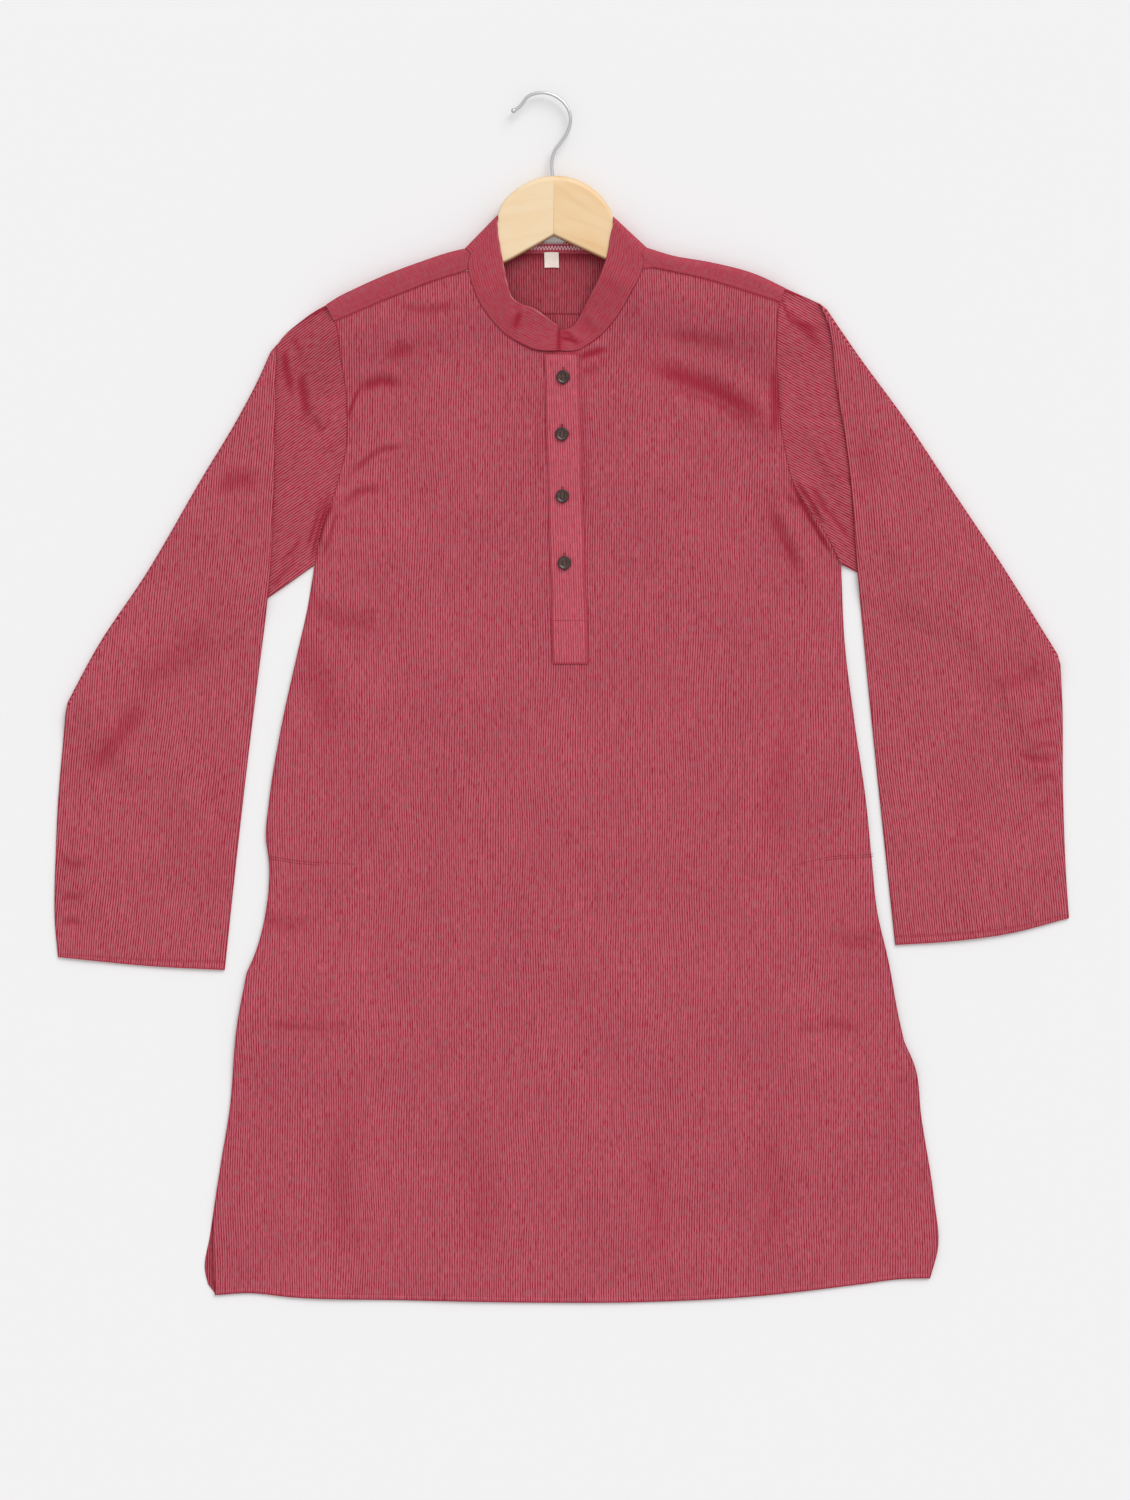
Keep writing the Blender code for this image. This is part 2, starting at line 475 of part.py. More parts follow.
def sleeve(name, shape, look):
    """A flat tube, folded over itself along a slanting crease and let down past its own edge.

    Rings of the tube run from its upper edge to its underarm edge. Before the crease a ring is a
    flat loop with round ends; the crease turns it over about a line; past it, heights are mirrored.
    """
    out = shape["out"]
    armhole = shifted(shape["armhole"], 1.5 * seamGap * out).tolist()
    armhole[0], armhole[-1] = shape["shoulder"][0], shape["under"][0]
    under = patch(armhole, shape["crease"], shape["shoulder"], shape["under"])
    over = patch(shape["crease"], shape["cuff"], shape["inner"], shape["outer"])
    tip, heel = np.array(shape["crease"][0]), np.array(shape["crease"][-1])
    crease_run = (heel - tip) / np.linalg.norm(heel - tip)
    outward = np.array([-crease_run[1], crease_run[0]]) * out
    below = np.array(shape["under"][1])
    below_run = (heel - below) / np.linalg.norm(heel - below)
    downward = np.array([below_run[1], -below_run[0]]) * out
    whole = 2 * cloth + layerGap
    axis = whole + layerGap / 2
    line = np.linspace(0, 1, 12)
    rim = np.radians([60, 0, -60])

    def carried(plan):
        inside = -((plan - tip) @ outward)
        return (tent(plan) + ridges(plan, frontFolds + underFolds)) * smooth(inside / creaseFade)

    def flat(plan):
        return np.zeros(plan.shape[:-1])

    def loop(at, v, lift, wall):
        """One ring of the flat tube: its plan points and heights, with the wall's depth taken off."""
        ends = at(np.array([0.0, 1.0]), v)
        width = np.linalg.norm(ends[1] - ends[0])
        radius = (whole + lift(at(np.array([0.02, 0.98]), v))) / 2
        first, last = radius[0] / width, 1 - radius[1] / width
        across = first + line * (last - first)
        reach = (radius - wall) / width
        q = np.concatenate([across, last + reach[1] * np.cos(rim), across[::-1],
                            first - reach[0] * np.cos(rim[::-1])])
        plan = at(q, v)
        z = np.concatenate([whole - wall + lift(plan[:len(line)]),
                            radius[1] + (radius[1] - wall) * np.sin(rim), np.full(len(line), wall),
                            radius[0] + (radius[0] - wall) * np.sin(rim[::-1])])
        return plan, z

    rows = {0.0: [], cloth: []}
    window = np.zeros(2 * (len(line) + len(rim)))
    window[len(line) + len(rim):-len(rim)] = smooth(6 * line * (1 - line))
    for wall, made in rows.items():
        for v in np.linspace(0, 1, 10):
            made.append(at_height(*loop(under, v, carried if v < 1 else flat, wall)))
        plan, z = loop(under, 1.0, flat, wall)
        for turn in np.radians([-54, -18, 18, 54]):
            swing = ((axis - z) * math.cos(turn))[:, None]
            made.append(at_height(plan + outward * swing, axis + (axis - z) * math.sin(turn)))
        for v in np.linspace(0, 1, 13):
            plan, z = loop(over, v, flat, wall)
            drop = (whole + layerGap) * smooth(((plan - below) @ downward - 2.0) / sleeveDrop)
            own = ridges(plan, sleeveFolds) * window * smooth(v / 0.12)
            made.append(at_height(plan, 2 * axis - z + carried(plan) + own - drop))
    return closed_wall(name, np.stack(rows[cloth]), np.stack(rows[0.0]), look, ring=True)


def placket(look):
    """Strip on the front, a layer clear of it, from the collar seam to its square end."""
    down, across = np.linspace(0, 1, 15)[:, None], np.linspace(0, 1, 4)[None, :]
    left = placketTop[0] + down * (placketBottom[0] - placketTop[0])
    right = placketTop[1] + down * (placketBottom[1] - placketTop[1])
    x = left + across * (right - left)
    y = placketTop[2] + down * (placketBottom[2] - placketTop[2]) + 0 * across
    plan = np.stack([x, y], -1)
    low = frontLow + cloth + layerGap + front_lift(plan)
    return closed_wall("placket", at_height(plan, low), at_height(plan, low + placketCloth), look)


def pocket_bag(name, corners, look):
    """Flat bag between the panels: its outer side bends with the side seam."""
    down, across = np.linspace(0, 1, 9), np.linspace(0, 1, 3)[None, :, None]
    outer = through([corners[0], corners[5], corners[4], corners[3]], down)[:, None]
    inner = through([corners[1], corners[2]], down)[:, None]
    plan = outer + across * (inner - outer)
    low = cloth + layerGap
    return closed_wall(name, at_height(plan, low), at_height(plan, low + bagCloth), look)


def neck_label(look):
    """Small label hanging from the back of the collar, over its seam and onto the yoke."""
    across, down = np.linspace(0, 1, 3)[None, :], np.linspace(0, 1, 6)[:, None]
    x = labelTop[0] + labelWide * (across - 0.5) + 0 * down
    y = labelTop[1] - labelLong * down + 0 * across
    over_band = bandCloth + layerGap
    on_yoke = cloth + layerGap
    low = on_yoke + (over_band - on_yoke) * (1 - smooth((down - 0.2) / 0.5)) + 0 * across
    plan = np.stack([x, y], -1)
    return closed_wall("label", at_height(plan, low), at_height(plan, low + labelThick), look)


def cutter(name, made):
    made.name = name
    made.hide_render = True
    made.display_type = "WIRE"
    return made


def rods(name, centres, radius, length, turn):
    """One mesh of round rods, used as a cutter."""
    sides = np.radians(np.arange(8) * 45.0 + 22.5)
    points, faces = [], []
    for centre in centres:
        first = len(points)
        for end in (-0.5, 0.5):
            for side in sides:
                local = np.array([math.cos(side) * radius, math.sin(side) * radius, end * length])
                points.append(np.asarray(centre) + turn @ local)
        count = len(sides)
        ring = list(range(first, first + count))
        upper = [k + count for k in ring]
        faces += [[ring[k], ring[k - 1], upper[k - 1], upper[k]] for k in range(count)]
        faces += [ring, upper[::-1]]
    return cutter(name, new_object(name, points, faces, finish(name, (0.5, 0.5, 0.5))))


def cut(made, tool):
    boolean = made.modifiers.new("Holes", "BOOLEAN")
    boolean.operation = "DIFFERENCE"
    boolean.object = tool


def button(name, centre, look, holes):
    """Turned disc with a raised rim and a dished middle, pierced by four holes."""
    radius = buttonWide / 2
    profile = [(0.0, 0.0), (0.78 * radius, 0.0), (radius, 0.45 * buttonThick),
               (0.9 * radius, buttonThick), (0.72 * radius, 0.9 * buttonThick),
               (0.56 * radius, 0.7 * buttonThick), (0.0, 0.68 * buttonThick)]
    sides = np.radians(np.arange(20) * 18.0)
    base = placket_top_height()
    points, faces = [], []
    rings = []
    for r, z in profile:
        if r == 0.0:
            rings.append([len(points)])
            points.append((centre[0], centre[1], base + z))
        else:
            rings.append(list(range(len(points), len(points) + len(sides))))
            points += [(centre[0] + r * math.cos(a), centre[1] + r * math.sin(a), base + z) for a in sides]
    for low, high in zip(rings[:-1], rings[1:]):
        for k in range(len(sides)):
            n = (k + 1) % len(sides)
            if len(low) == 1:
                faces.append([low[0], high[n], high[k]])
            elif len(high) == 1:
                faces.append([low[k], low[n], high[0]])
            else:
                faces.append([low[k], low[n], high[n], high[k]])
    made = new_object(name, points, faces, look)
    cut(made, holes)
    return made


def placket_top_height():
    return frontLow + cloth + layerGap + placketCloth + layerGap


def wood_arm(name, table, look, hole):
    """Arm of the hanger: upper edge fully round, lower edge eased, a flat mitre at the middle."""
    half, eased = woodThick / 2, 3.0
    middle = woodBottom + half
    upper_turns = np.radians([-90, -50, -17, 17, 50, 90])
    rings = []
    for ux, uy, lx, ly in table:
        top, low = np.array([ux, uy]), np.array([lx, ly])
        wide = np.linalg.norm(low - top)
        inward = (low - top) / wide
        depth = np.concatenate([half - half * np.cos(upper_turns),
                                [wide - eased, wide - 0.3 * eased, wide, wide, wide - 0.3 * eased,
                                 wide - eased]])
        rise = np.concatenate([half * np.sin(upper_turns),
                               [half, half - 0.3 * eased, half - eased, eased - half,
                                0.3 * eased - half, -half]])
        rings.append(at_height(top + depth[:, None] * inward, middle + rise))
    made = loft(name, np.stack(rings), look)
    cut(made, hole)
    return made


def hook(look):
    """Bent wire, its foot in the hole at the mitre and its free tip a little swollen."""
    length = np.linalg.norm(np.diff(np.array(hookTable), axis=0), axis=1).sum()
    route = through(hookTable, np.linspace(0, 1, int(length / hookStep) + 1))
    curve = bpy.data.curves.new("hanger_hook", "CURVE")
    curve.dimensions = "3D"
    spline = curve.splines.new("POLY")
    spline.points.add(len(route) - 1)
    height = (woodBottom + woodThick / 2) * METRES
    for point, (x, y) in zip(spline.points, route):
        point.co = (x * METRES, y * METRES, height, 1.0)
        point.radius = 1.0
    spline.points[-1].radius = 0.7
    spline.points[-2].radius = hookTip
    curve.bevel_depth = wireWide / 2 * METRES
    curve.bevel_resolution = 2
    curve.use_fill_caps = True
    curve.materials.append(look)
    made = bpy.data.objects.new("hanger_hook", curve)
    bpy.context.scene.collection.objects.link(made)
    return made


def build():
    for old in list(bpy.data.objects):
        bpy.data.objects.remove(old, do_unlink=True)
    weave = finish("cloth_red", (0.42, 0.075, 0.10))
    wood = finish("wood", (0.80, 0.60, 0.36), 0.5)
    steel = finish("steel", (0.62, 0.62, 0.64), 0.25, 1.0)
    horn = finish("button_horn", (0.12, 0.07, 0.05), 0.35)
    tape = finish("label_tape", (0.85, 0.82, 0.78), 0.8)
    lining = finish("bag_cloth", (0.45, 0.09, 0.12))
    back_panel(weave)
    yoke(weave)
    front_panel(weave)
    collar(weave)
    sleeve("sleeve_left", sleeveLeft, weave)
    sleeve("sleeve_right", sleeveRight, weave)
    placket(weave)
    pocket_bag("pocket_left", bagLeft, lining)
    pocket_bag("pocket_right", bagRight, lining)
    neck_label(tape)
    level = np.eye(3)
    middle = placket_top_height() + buttonThick / 2
    for number, (x, y) in enumerate(buttonTable, start=1):
        spots = [(x + buttonHoleOut * a, y + buttonHoleOut * b, middle) for a in (-1, 1) for b in (-1, 1)]
        holes = rods(f"button_holes_{number}", spots, buttonHole / 2, 3 * buttonThick, level)
        button(f"button_{number}", (x, y), horn, holes)
    lying = np.array([[1.0, 0.0, 0.0], [0.0, 0.0, 1.0], [0.0, -1.0, 0.0]])
    foot = hookTable[0]
    shaft = (foot[0], foot[1] - layerGap + hookHoleLong / 2, woodBottom + woodThick / 2)
    hole = rods("hook_hole", [shaft], wireWide / 2 + layerGap + 0.05, hookHoleLong, lying)
    wood_arm("hanger_arm_left", woodLeft, wood, hole)
    wood_arm("hanger_arm_right", woodRight, wood, hole)
    hook(steel)


build()
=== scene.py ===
import math

import bpy
import numpy as np
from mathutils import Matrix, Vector


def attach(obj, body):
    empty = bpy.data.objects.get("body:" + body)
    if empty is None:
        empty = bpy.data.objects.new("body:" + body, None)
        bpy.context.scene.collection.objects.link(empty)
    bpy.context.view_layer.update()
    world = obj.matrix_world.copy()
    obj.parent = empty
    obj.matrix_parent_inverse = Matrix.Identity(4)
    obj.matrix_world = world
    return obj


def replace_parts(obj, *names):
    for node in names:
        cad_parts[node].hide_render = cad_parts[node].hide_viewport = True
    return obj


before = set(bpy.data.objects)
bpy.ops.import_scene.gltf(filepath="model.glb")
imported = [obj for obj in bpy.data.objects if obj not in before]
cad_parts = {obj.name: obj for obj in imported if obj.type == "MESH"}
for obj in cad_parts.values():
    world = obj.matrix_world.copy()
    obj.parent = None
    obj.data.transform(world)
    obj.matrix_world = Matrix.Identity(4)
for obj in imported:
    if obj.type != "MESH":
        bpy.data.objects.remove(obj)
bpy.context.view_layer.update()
print("frame loaded:", len(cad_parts), "nodes")

# Lengths are in millimetres and become metres in newMesh. Seen from above, +y is the collar.

toMetres = 0.001

cloth = {
    "solid": 1.2,      # wall of the rigid stand-in
    "seam": 0.14,      # gap at seams
    "layer": 0.3,      # gap between layers
    "thick": 0.7,      # what shows as one layer of cloth
    "under": 0.25,     # from the stand-in's underside up to the cloth's
    "hemWide": 4.3,    # stitched hem of the panels
    "hemThick": 0.5,   # what the hem's fold adds
}
frontLow = cloth["solid"] + cloth["layer"]


def soft(t):
    # smooth step from 0 to 1, level at both ends
    t = np.clip(t, 0.0, 1.0)
    return t * t * (3.0 - 2.0 * t)


def through(table, t):
    # cubic curve through the rows of a table, at fractions t of its chord length
    knots = np.asarray(table, float)
    t = np.asarray(t, float)
    if len(knots) == 2:
        return knots[0] + t[..., None] * (knots[1] - knots[0])
    chord = chordOf(knots)
    slope = np.gradient(knots, chord, axis=0)
    place = t * chord[-1]
    k = np.clip(np.searchsorted(chord, place, side="right") - 1, 0, len(knots) - 2)
    step = (chord[k + 1] - chord[k])[..., None]
    w = (place - chord[k])[..., None] / step
    return ((2 * w**3 - 3 * w**2 + 1) * knots[k] + (w**3 - 2 * w**2 + w) * step * slope[k]
            + (3 * w**2 - 2 * w**3) * knots[k + 1] + (w**3 - w**2) * step * slope[k + 1])


def lengths(vectors):
    # root of the sum of squares, along the last axis
    return np.linalg.norm(vectors, axis=-1)


def unit(vectors):
    # each vector over its own length
    return vectors / lengths(vectors)[..., None]


def bell(distance, half):
    # bell curve, 1 in the middle and 0.37 at the half width
    return np.exp(-((distance / half) ** 2))


def rounded(far, radius, least):
    # quarter circle up from an edge, 1 from the radius on and never below least
    return np.sqrt(np.clip(1 - (1 - np.clip(far / radius, 0, 1)) ** 2, least, 1))


def chordOf(points):
    # length along a line of points, from 0
    return np.concatenate([[0.0], np.cumsum(lengths(np.diff(points, axis=0)))])


def shifted(table, distance):
    # a line of points moved sideways, to the left of its direction
    knots = np.asarray(table, float)
    along = unit(np.gradient(knots, axis=0))
    return knots + distance * np.stack([-along[:, 1], along[:, 0]], -1)


def filled(top, bottom, left, right, across, down):
    # Coons grid between four rows of points: opposite sides blended, the corners taken off once
    u, v = across[None, :, None], down[:, None, None]
    corners = ((1 - u) * (1 - v) * top[0] + u * (1 - v) * top[-1]
               + (1 - u) * v * bottom[0] + u * v * bottom[-1])
    return ((1 - v) * top[None] + v * bottom[None] + (1 - u) * left[:, None] + u * right[:, None]
            - corners)


def patch(first, last, start, end):
    # Coons surface between four curves as a function of q across and v along
    def at(q, v):
        q, v = np.broadcast_arrays(np.asarray(q, float), np.asarray(v, float))
        a, b = through(first, q), through(last, q)
        c, d = through(start, v), through(end, v)
        q, v = q[..., None], v[..., None]
        corners = ((1 - q) * (1 - v) * np.asarray(first[0]) + q * (1 - v) * np.asarray(first[-1])
                   + (1 - q) * v * np.asarray(last[0]) + q * v * np.asarray(last[-1]))
        return (1 - v) * a + v * b + (1 - q) * c + q * d - corners
    return at


def distanceTo(outline, points):
    # distance to the nearest side of a closed outline, 0 inside, where a line crosses it an odd
    # number of times
    a = np.asarray(outline, float)
    b = np.roll(a, -1, axis=0)
    flat = points.reshape(-1, 2)
    run = b - a
    w = np.clip(((flat[:, None] - a) * run).sum(-1) / (run**2).sum(-1), 0, 1)
    near = lengths(flat[:, None] - (a + w[..., None] * run)).min(1)
    above = (a[:, 1] > flat[:, None, 1]) != (b[:, 1] > flat[:, None, 1])
    rise = np.where(b[:, 1] == a[:, 1], 1.0, b[:, 1] - a[:, 1])
    crossing = a[:, 0] + (flat[:, None, 1] - a[:, 1]) / rise * (b[:, 0] - a[:, 0])
    inside = (above & (flat[:, None, 0] < crossing)).sum(1) % 2 == 1
    return np.where(inside, 0.0, near).reshape(points.shape[:-1])


def raised(plan, z):
    # places on the plan with their heights
    z = np.broadcast_to(np.asarray(z, float), plan.shape[:-1])
    return np.concatenate([plan, z[..., None]], axis=-1)


def spaced(length, step, fineStart=False, fineEnd=False):
    # fractions of a length in even steps, closer together near the ends that carry a hem
    near = np.array([0.0, 0.5, 1.1, 1.9, 2.8, 3.5, 4.0, 4.4, 4.8, 5.3, 6.2, 8.0, 11.0])
    first = near if fineStart else np.array([0.0])
    last = length - near[::-1] if fineEnd else np.array([length])
    count = max(2, int(round((last[0] - first[-1]) / step)) + 1)
    middle = np.linspace(first[-1], last[0], count)[1:-1]
    return np.concatenate([first, middle, last]) / length


# Meshes

def newMesh(name, points, faces, look, stripe=None, crease=None, sharp=50):
    # a mesh at the origin; stripe is each point's place on the cut cloth, crease is 0 to 1, a mark that
    # darkens the colour, mostly painted shade (the collar's worn edge goes below 0)
    mesh = bpy.data.meshes.new(name)
    mesh.from_pydata((np.asarray(points) * toMetres).tolist(), [], faces)
    mesh.update()
    if sum(p.center.dot(p.normal) * p.area for p in mesh.polygons) < 0:
        mesh.flip_normals()
    corners = np.empty(len(mesh.loops), int)
    mesh.loops.foreach_get("vertex_index", corners)
    if stripe is not None:
        layer = mesh.uv_layers.new(name="weave")
        layer.data.foreach_set("uv", (np.asarray(stripe)[corners] * toMetres).ravel())
    if crease is not None:
        mark = mesh.attributes.new("crease", "FLOAT", "POINT")
        mark.data.foreach_set("value", np.asarray(crease, float).ravel())
    mesh.shade_smooth()
    mesh.set_sharp_from_angle(angle=math.radians(sharp))
    mesh.materials.append(look)
    piece = bpy.data.objects.new(name, mesh)
    bpy.context.scene.collection.objects.link(piece)
    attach(piece, "root")
    return piece


def gridQuads(rows, cols, ring=False):
    # one quad between each four neighbours of a grid, and round from its last column if it's a ring
    index = np.arange(rows * cols).reshape(rows, cols)
    if ring:
        index = np.concatenate([index, index[:, :1]], axis=1)
    return np.stack([index[:-1, :-1], index[:-1, 1:], index[1:, 1:], index[1:, :-1]], axis=-1)


def tubeFaces(rows, sides):
    # quads round a tube, and fans to the two points that follow its rings
    last = rows * sides
    faces = gridQuads(rows, sides, ring=True).reshape(-1, 4).tolist()
    faces += [[last, (k + 1) % sides, k] for k in range(sides)]
    return faces + [[last + 1, last - sides + k, last - sides + (k + 1) % sides] for k in range(sides)]


def clothShell(name, outer, inner, stripe, look, crease=None, ring=False, keep=None, shadedInside=None):
    # one closed shell between two grids of points, its rim closed with a strip of quads;
    # the last argument is the look of the inner face where it differs: a darker copy, painted shade
    rows, cols = outer.shape[:2]
    quads = gridQuads(rows, cols, ring)
    quads = quads.reshape(-1, 4) if keep is None else quads[keep]
    count = rows * cols
    edges = np.concatenate([quads[:, [k, (k + 1) % 4]] for k in range(4)])
    openEdges = edges[~np.isin(edges[:, 0] * count + edges[:, 1], edges[:, 1] * count + edges[:, 0])]
    rim = np.stack([openEdges[:, 1], openEdges[:, 0], openEdges[:, 0] + count, openEdges[:, 1] + count], -1)
    faces = np.concatenate([quads, quads[:, ::-1] + count, rim])
    used, faces = np.unique(faces, return_inverse=True)
    points = np.concatenate([outer.reshape(-1, 3), inner.reshape(-1, 3)])[used]
    places = np.concatenate([stripe.reshape(-1, 2)] * 2)[used]
    marks = np.zeros(2 * count) if crease is None else np.concatenate([crease.ravel()] * 2)
    piece = newMesh(name, points, faces.reshape(-1, 4).tolist(), look, places, marks[used])
    if shadedInside:
        piece.data.materials.append(shadedInside)
        index = np.zeros(2 * len(quads) + len(rim), int)
        index[len(quads):2 * len(quads)] = 1
        piece.data.polygons.foreach_set("material_index", index)
    return piece


def threads(name, starts, ends, look, wide=0.5, high=0.34):
    # a small six-sided capsule from each start to each end, all in one mesh
    starts, ends = np.asarray(starts, float), np.asarray(ends, float)
    run = ends - starts
    along = unit(run)
    side = unit(np.cross(along, [0.0, 0.0, 1.0]))
    above = np.cross(side, along)
    turn = np.radians(np.arange(6) * 60.0)[:, None]
    around = (np.cos(turn) * side[:, None] * wide + np.sin(turn) * above[:, None] * high) / 2
    middle = (starts + ends)[:, None] / 2
    rings = [middle + place * run[:, None] + size * around
             for place, size in ((-0.36, 0.75), (0.0, 1.0), (0.36, 0.75))]
    points = np.concatenate([*rings, starts[:, None], ends[:, None]], axis=1)
    one, offset = tubeFaces(3, 6), np.arange(len(starts))[:, None, None] * points.shape[1]
    faces = []
    for part in (one[:12], one[12:]):
        faces += (np.array(part) + offset).reshape(-1, len(part[0])).tolist()
    return newMesh(name, points.reshape(-1, 3), faces, look)


def stitchRows(name, paths, look, pitch=2.6, fill=0.72, wide=0.5, high=0.34):
    # stitches with their middles evenly spaced along each path, each filling a share of the pitch
    starts, ends = [], []
    for path in paths:
        chord = chordOf(path)
        count = max(1, int(chord[-1] / pitch))
        middle = (np.arange(count) + 0.5) * chord[-1] / count
        for made, half in ((starts, -fill * pitch / 2), (ends, fill * pitch / 2)):
            made.append(np.stack([np.interp(middle + half, chord, path[:, k]) for k in range(3)], -1))
    return threads(name, np.concatenate(starts), np.concatenate(ends), look, wide, high)


# Materials

def nodeGroup(name, inputs, outputs):
    # an empty shader group: a vector, a colour or a number goes in, by the default it is given here
    tree = bpy.data.node_groups.new(name, "ShaderNodeTree")
    for label, value in inputs.items():
        kind = "Vector" if value is None else "Color" if isinstance(value, tuple) else "Float"
        socket = tree.interface.new_socket(name=label, in_out="INPUT", socket_type="NodeSocket" + kind)
        if value is not None:
            socket.default_value = value
    for label in outputs:
        kind = "Color" if label == "Color" else "Float"
        tree.interface.new_socket(name=label, in_out="OUTPUT", socket_type="NodeSocket" + kind)
    return tree, tree.nodes.new("NodeGroupInput").outputs, tree.nodes.new("NodeGroupOutput").inputs


def feed(tree, socket, value):
    # link a socket to another, or give it a fixed value
    if isinstance(value, bpy.types.NodeSocket):
        tree.links.new(value, socket)
    else:
        socket.default_value = value


def calc(tree, operation, a, b=0.0, c=None, clamp=False):
    # one maths node
    node = tree.nodes.new("ShaderNodeMath")
    node.operation, node.use_clamp = operation, clamp
    for socket, value in zip(node.inputs, (a, b) if c is None else (a, b, c)):
        feed(tree, socket, value)
    return node.outputs[0]


def blended(tree, factor, a, b, kind="MIX"):
    # from colour a to colour b by the factor
    node = tree.nodes.new("ShaderNodeMix")
    node.data_type, node.blend_type = "RGBA", kind
    for label, value in (("Factor", factor), ("A", a), ("B", b)):
        feed(tree, node.inputs[label], value)
    return node.outputs["Result"]


def lit(tree, colour, light):
    # a colour times a brightness
    shade = tree.nodes.new("ShaderNodeCombineColor")
    for socket in shade.inputs[:3]:
        tree.links.new(light, socket)
    return blended(tree, 1.0, colour, shade.outputs[0], "MULTIPLY")


def noise(tree, vector, stretch, turn=0.0, detail=2.0):
    # noise on coordinates that are turned about z and scaled unevenly
    mapping = tree.nodes.new("ShaderNodeMapping")
    mapping.inputs["Rotation"].default_value = (0, 0, turn)
    mapping.inputs["Scale"].default_value = stretch
    tree.links.new(vector, mapping.inputs["Vector"])
    node = tree.nodes.new("ShaderNodeTexNoise")
    node.inputs["Scale"].default_value = 1.0
    node.inputs["Detail"].default_value = detail
    tree.links.new(mapping.outputs[0], node.inputs["Vector"])
    return node.outputs["Fac"]


anyColour = (0.5, 0.5, 0.5, 1.0)    # each material gives its own


def stripedWeave():
    # warp stripes: a sine across the cloth bent by noise, with streaks and yarns of long noise on it;
    # then short dull patches, painted shade in folds and at rims, worn edges, and slow changes of brightness
    tree, given, out = nodeGroup(
        "stripedWeave", {"Place": None, "Red": anyColour, "Pale": anyColour, "ShadeColour": anyColour,
                         "Worn": anyColour, "Dull": anyColour, "Pitch": 0.00226, "Contrast": 1.0,
                         "ShadeAndWear": 0.0}, ("Color", "Height", "Roughness"))
    place = given["Place"]
    split = tree.nodes.new("ShaderNodeSeparateXYZ")
    tree.links.new(place, split.inputs[0])
    wobble = noise(tree, place, (24, 5, 1), detail=1.0)
    group = noise(tree, place, (130, 22, 1), detail=1.0)
    streak = noise(tree, place, (430, 34, 1))
    fine = noise(tree, place, (1150, 150, 1), detail=1.0)
    weft = noise(tree, place, (60, 1300, 1))
    broad = noise(tree, place, (14, 10, 1), detail=3.0)
    heather = noise(tree, place, (330, 130, 1))
    turns = calc(tree, "MULTIPLY_ADD", wobble, 0.9, calc(tree, "DIVIDE", split.outputs["X"], given["Pitch"]))
    wave = calc(tree, "SINE", calc(tree, "MULTIPLY", turns, 2 * math.pi))
    pale = calc(tree, "MULTIPLY", wave, calc(tree, "MULTIPLY_ADD", group, 0.7, 0.22))
    pale = calc(tree, "ADD", pale, calc(tree, "MULTIPLY_ADD", streak, 0.9, -0.45))
    pale = calc(tree, "ADD", pale, calc(tree, "MULTIPLY_ADD", fine, 1.5, -0.75))
    pale = calc(tree, "MULTIPLY_ADD", pale, given["Contrast"], 0.5, clamp=True)
    # a positive mark is painted shade in folds and at rims, a negative one is worn, paler cloth
    fold = calc(tree, "MAXIMUM", given["ShadeAndWear"], 0.0)
    worn = calc(tree, "MULTIPLY", given["ShadeAndWear"], -1.0, clamp=True)
    pale = calc(tree, "MULTIPLY", pale, calc(tree, "MULTIPLY_ADD", fold, -0.6, 1.0))
    dull = calc(tree, "MULTIPLY", calc(tree, "MULTIPLY_ADD", heather, 3.0, -1.2, clamp=True),
                calc(tree, "MULTIPLY_ADD", fold, -0.5, 0.5, clamp=True))
    foldShade = calc(tree, "MULTIPLY", fold, 0.7, clamp=True)
    colour = given["Red"]
    for share, label in ((pale, "Pale"), (dull, "Dull"), (foldShade, "ShadeColour"), (worn, "Worn")):
        colour = blended(tree, share, colour, given[label])
    light = calc(tree, "MULTIPLY", calc(tree, "MULTIPLY_ADD", broad, 0.22, 0.89),
                 calc(tree, "MULTIPLY_ADD", weft, 0.16, 0.92))
    height = calc(tree, "MULTIPLY_ADD", pale, 0.55, calc(tree, "MULTIPLY", weft, 0.45))
    tree.links.new(lit(tree, colour, light), out["Color"])
    tree.links.new(height, out["Height"])
    tree.links.new(calc(tree, "MULTIPLY_ADD", pale, 0.10, 0.74), out["Roughness"])
    return tree


def fibreGroup():
    # noise drawn out both ways, for thread, tape and plain cloth
    tree, given, out = nodeGroup("fibre", {"Place": None, "Tint": anyColour, "Scale": 1.0},
                                 ("Color", "Height"))
    scaled = tree.nodes.new("ShaderNodeVectorMath")
    scaled.operation = "SCALE"
    tree.links.new(given["Place"], scaled.inputs[0])
    tree.links.new(given["Scale"], scaled.inputs["Scale"])
    place = scaled.outputs[0]
    both = calc(tree, "ADD", noise(tree, place, (2600, 300, 300), detail=1.0),
                noise(tree, place, (300, 2600, 300), detail=1.0))
    light = calc(tree, "MULTIPLY_ADD", noise(tree, place, (60, 60, 60)), 0.16,
                 calc(tree, "MULTIPLY_ADD", both, 0.26, 0.66))
    tree.links.new(lit(tree, given["Tint"], light), out["Color"])
    tree.links.new(both, out["Height"])
    return tree


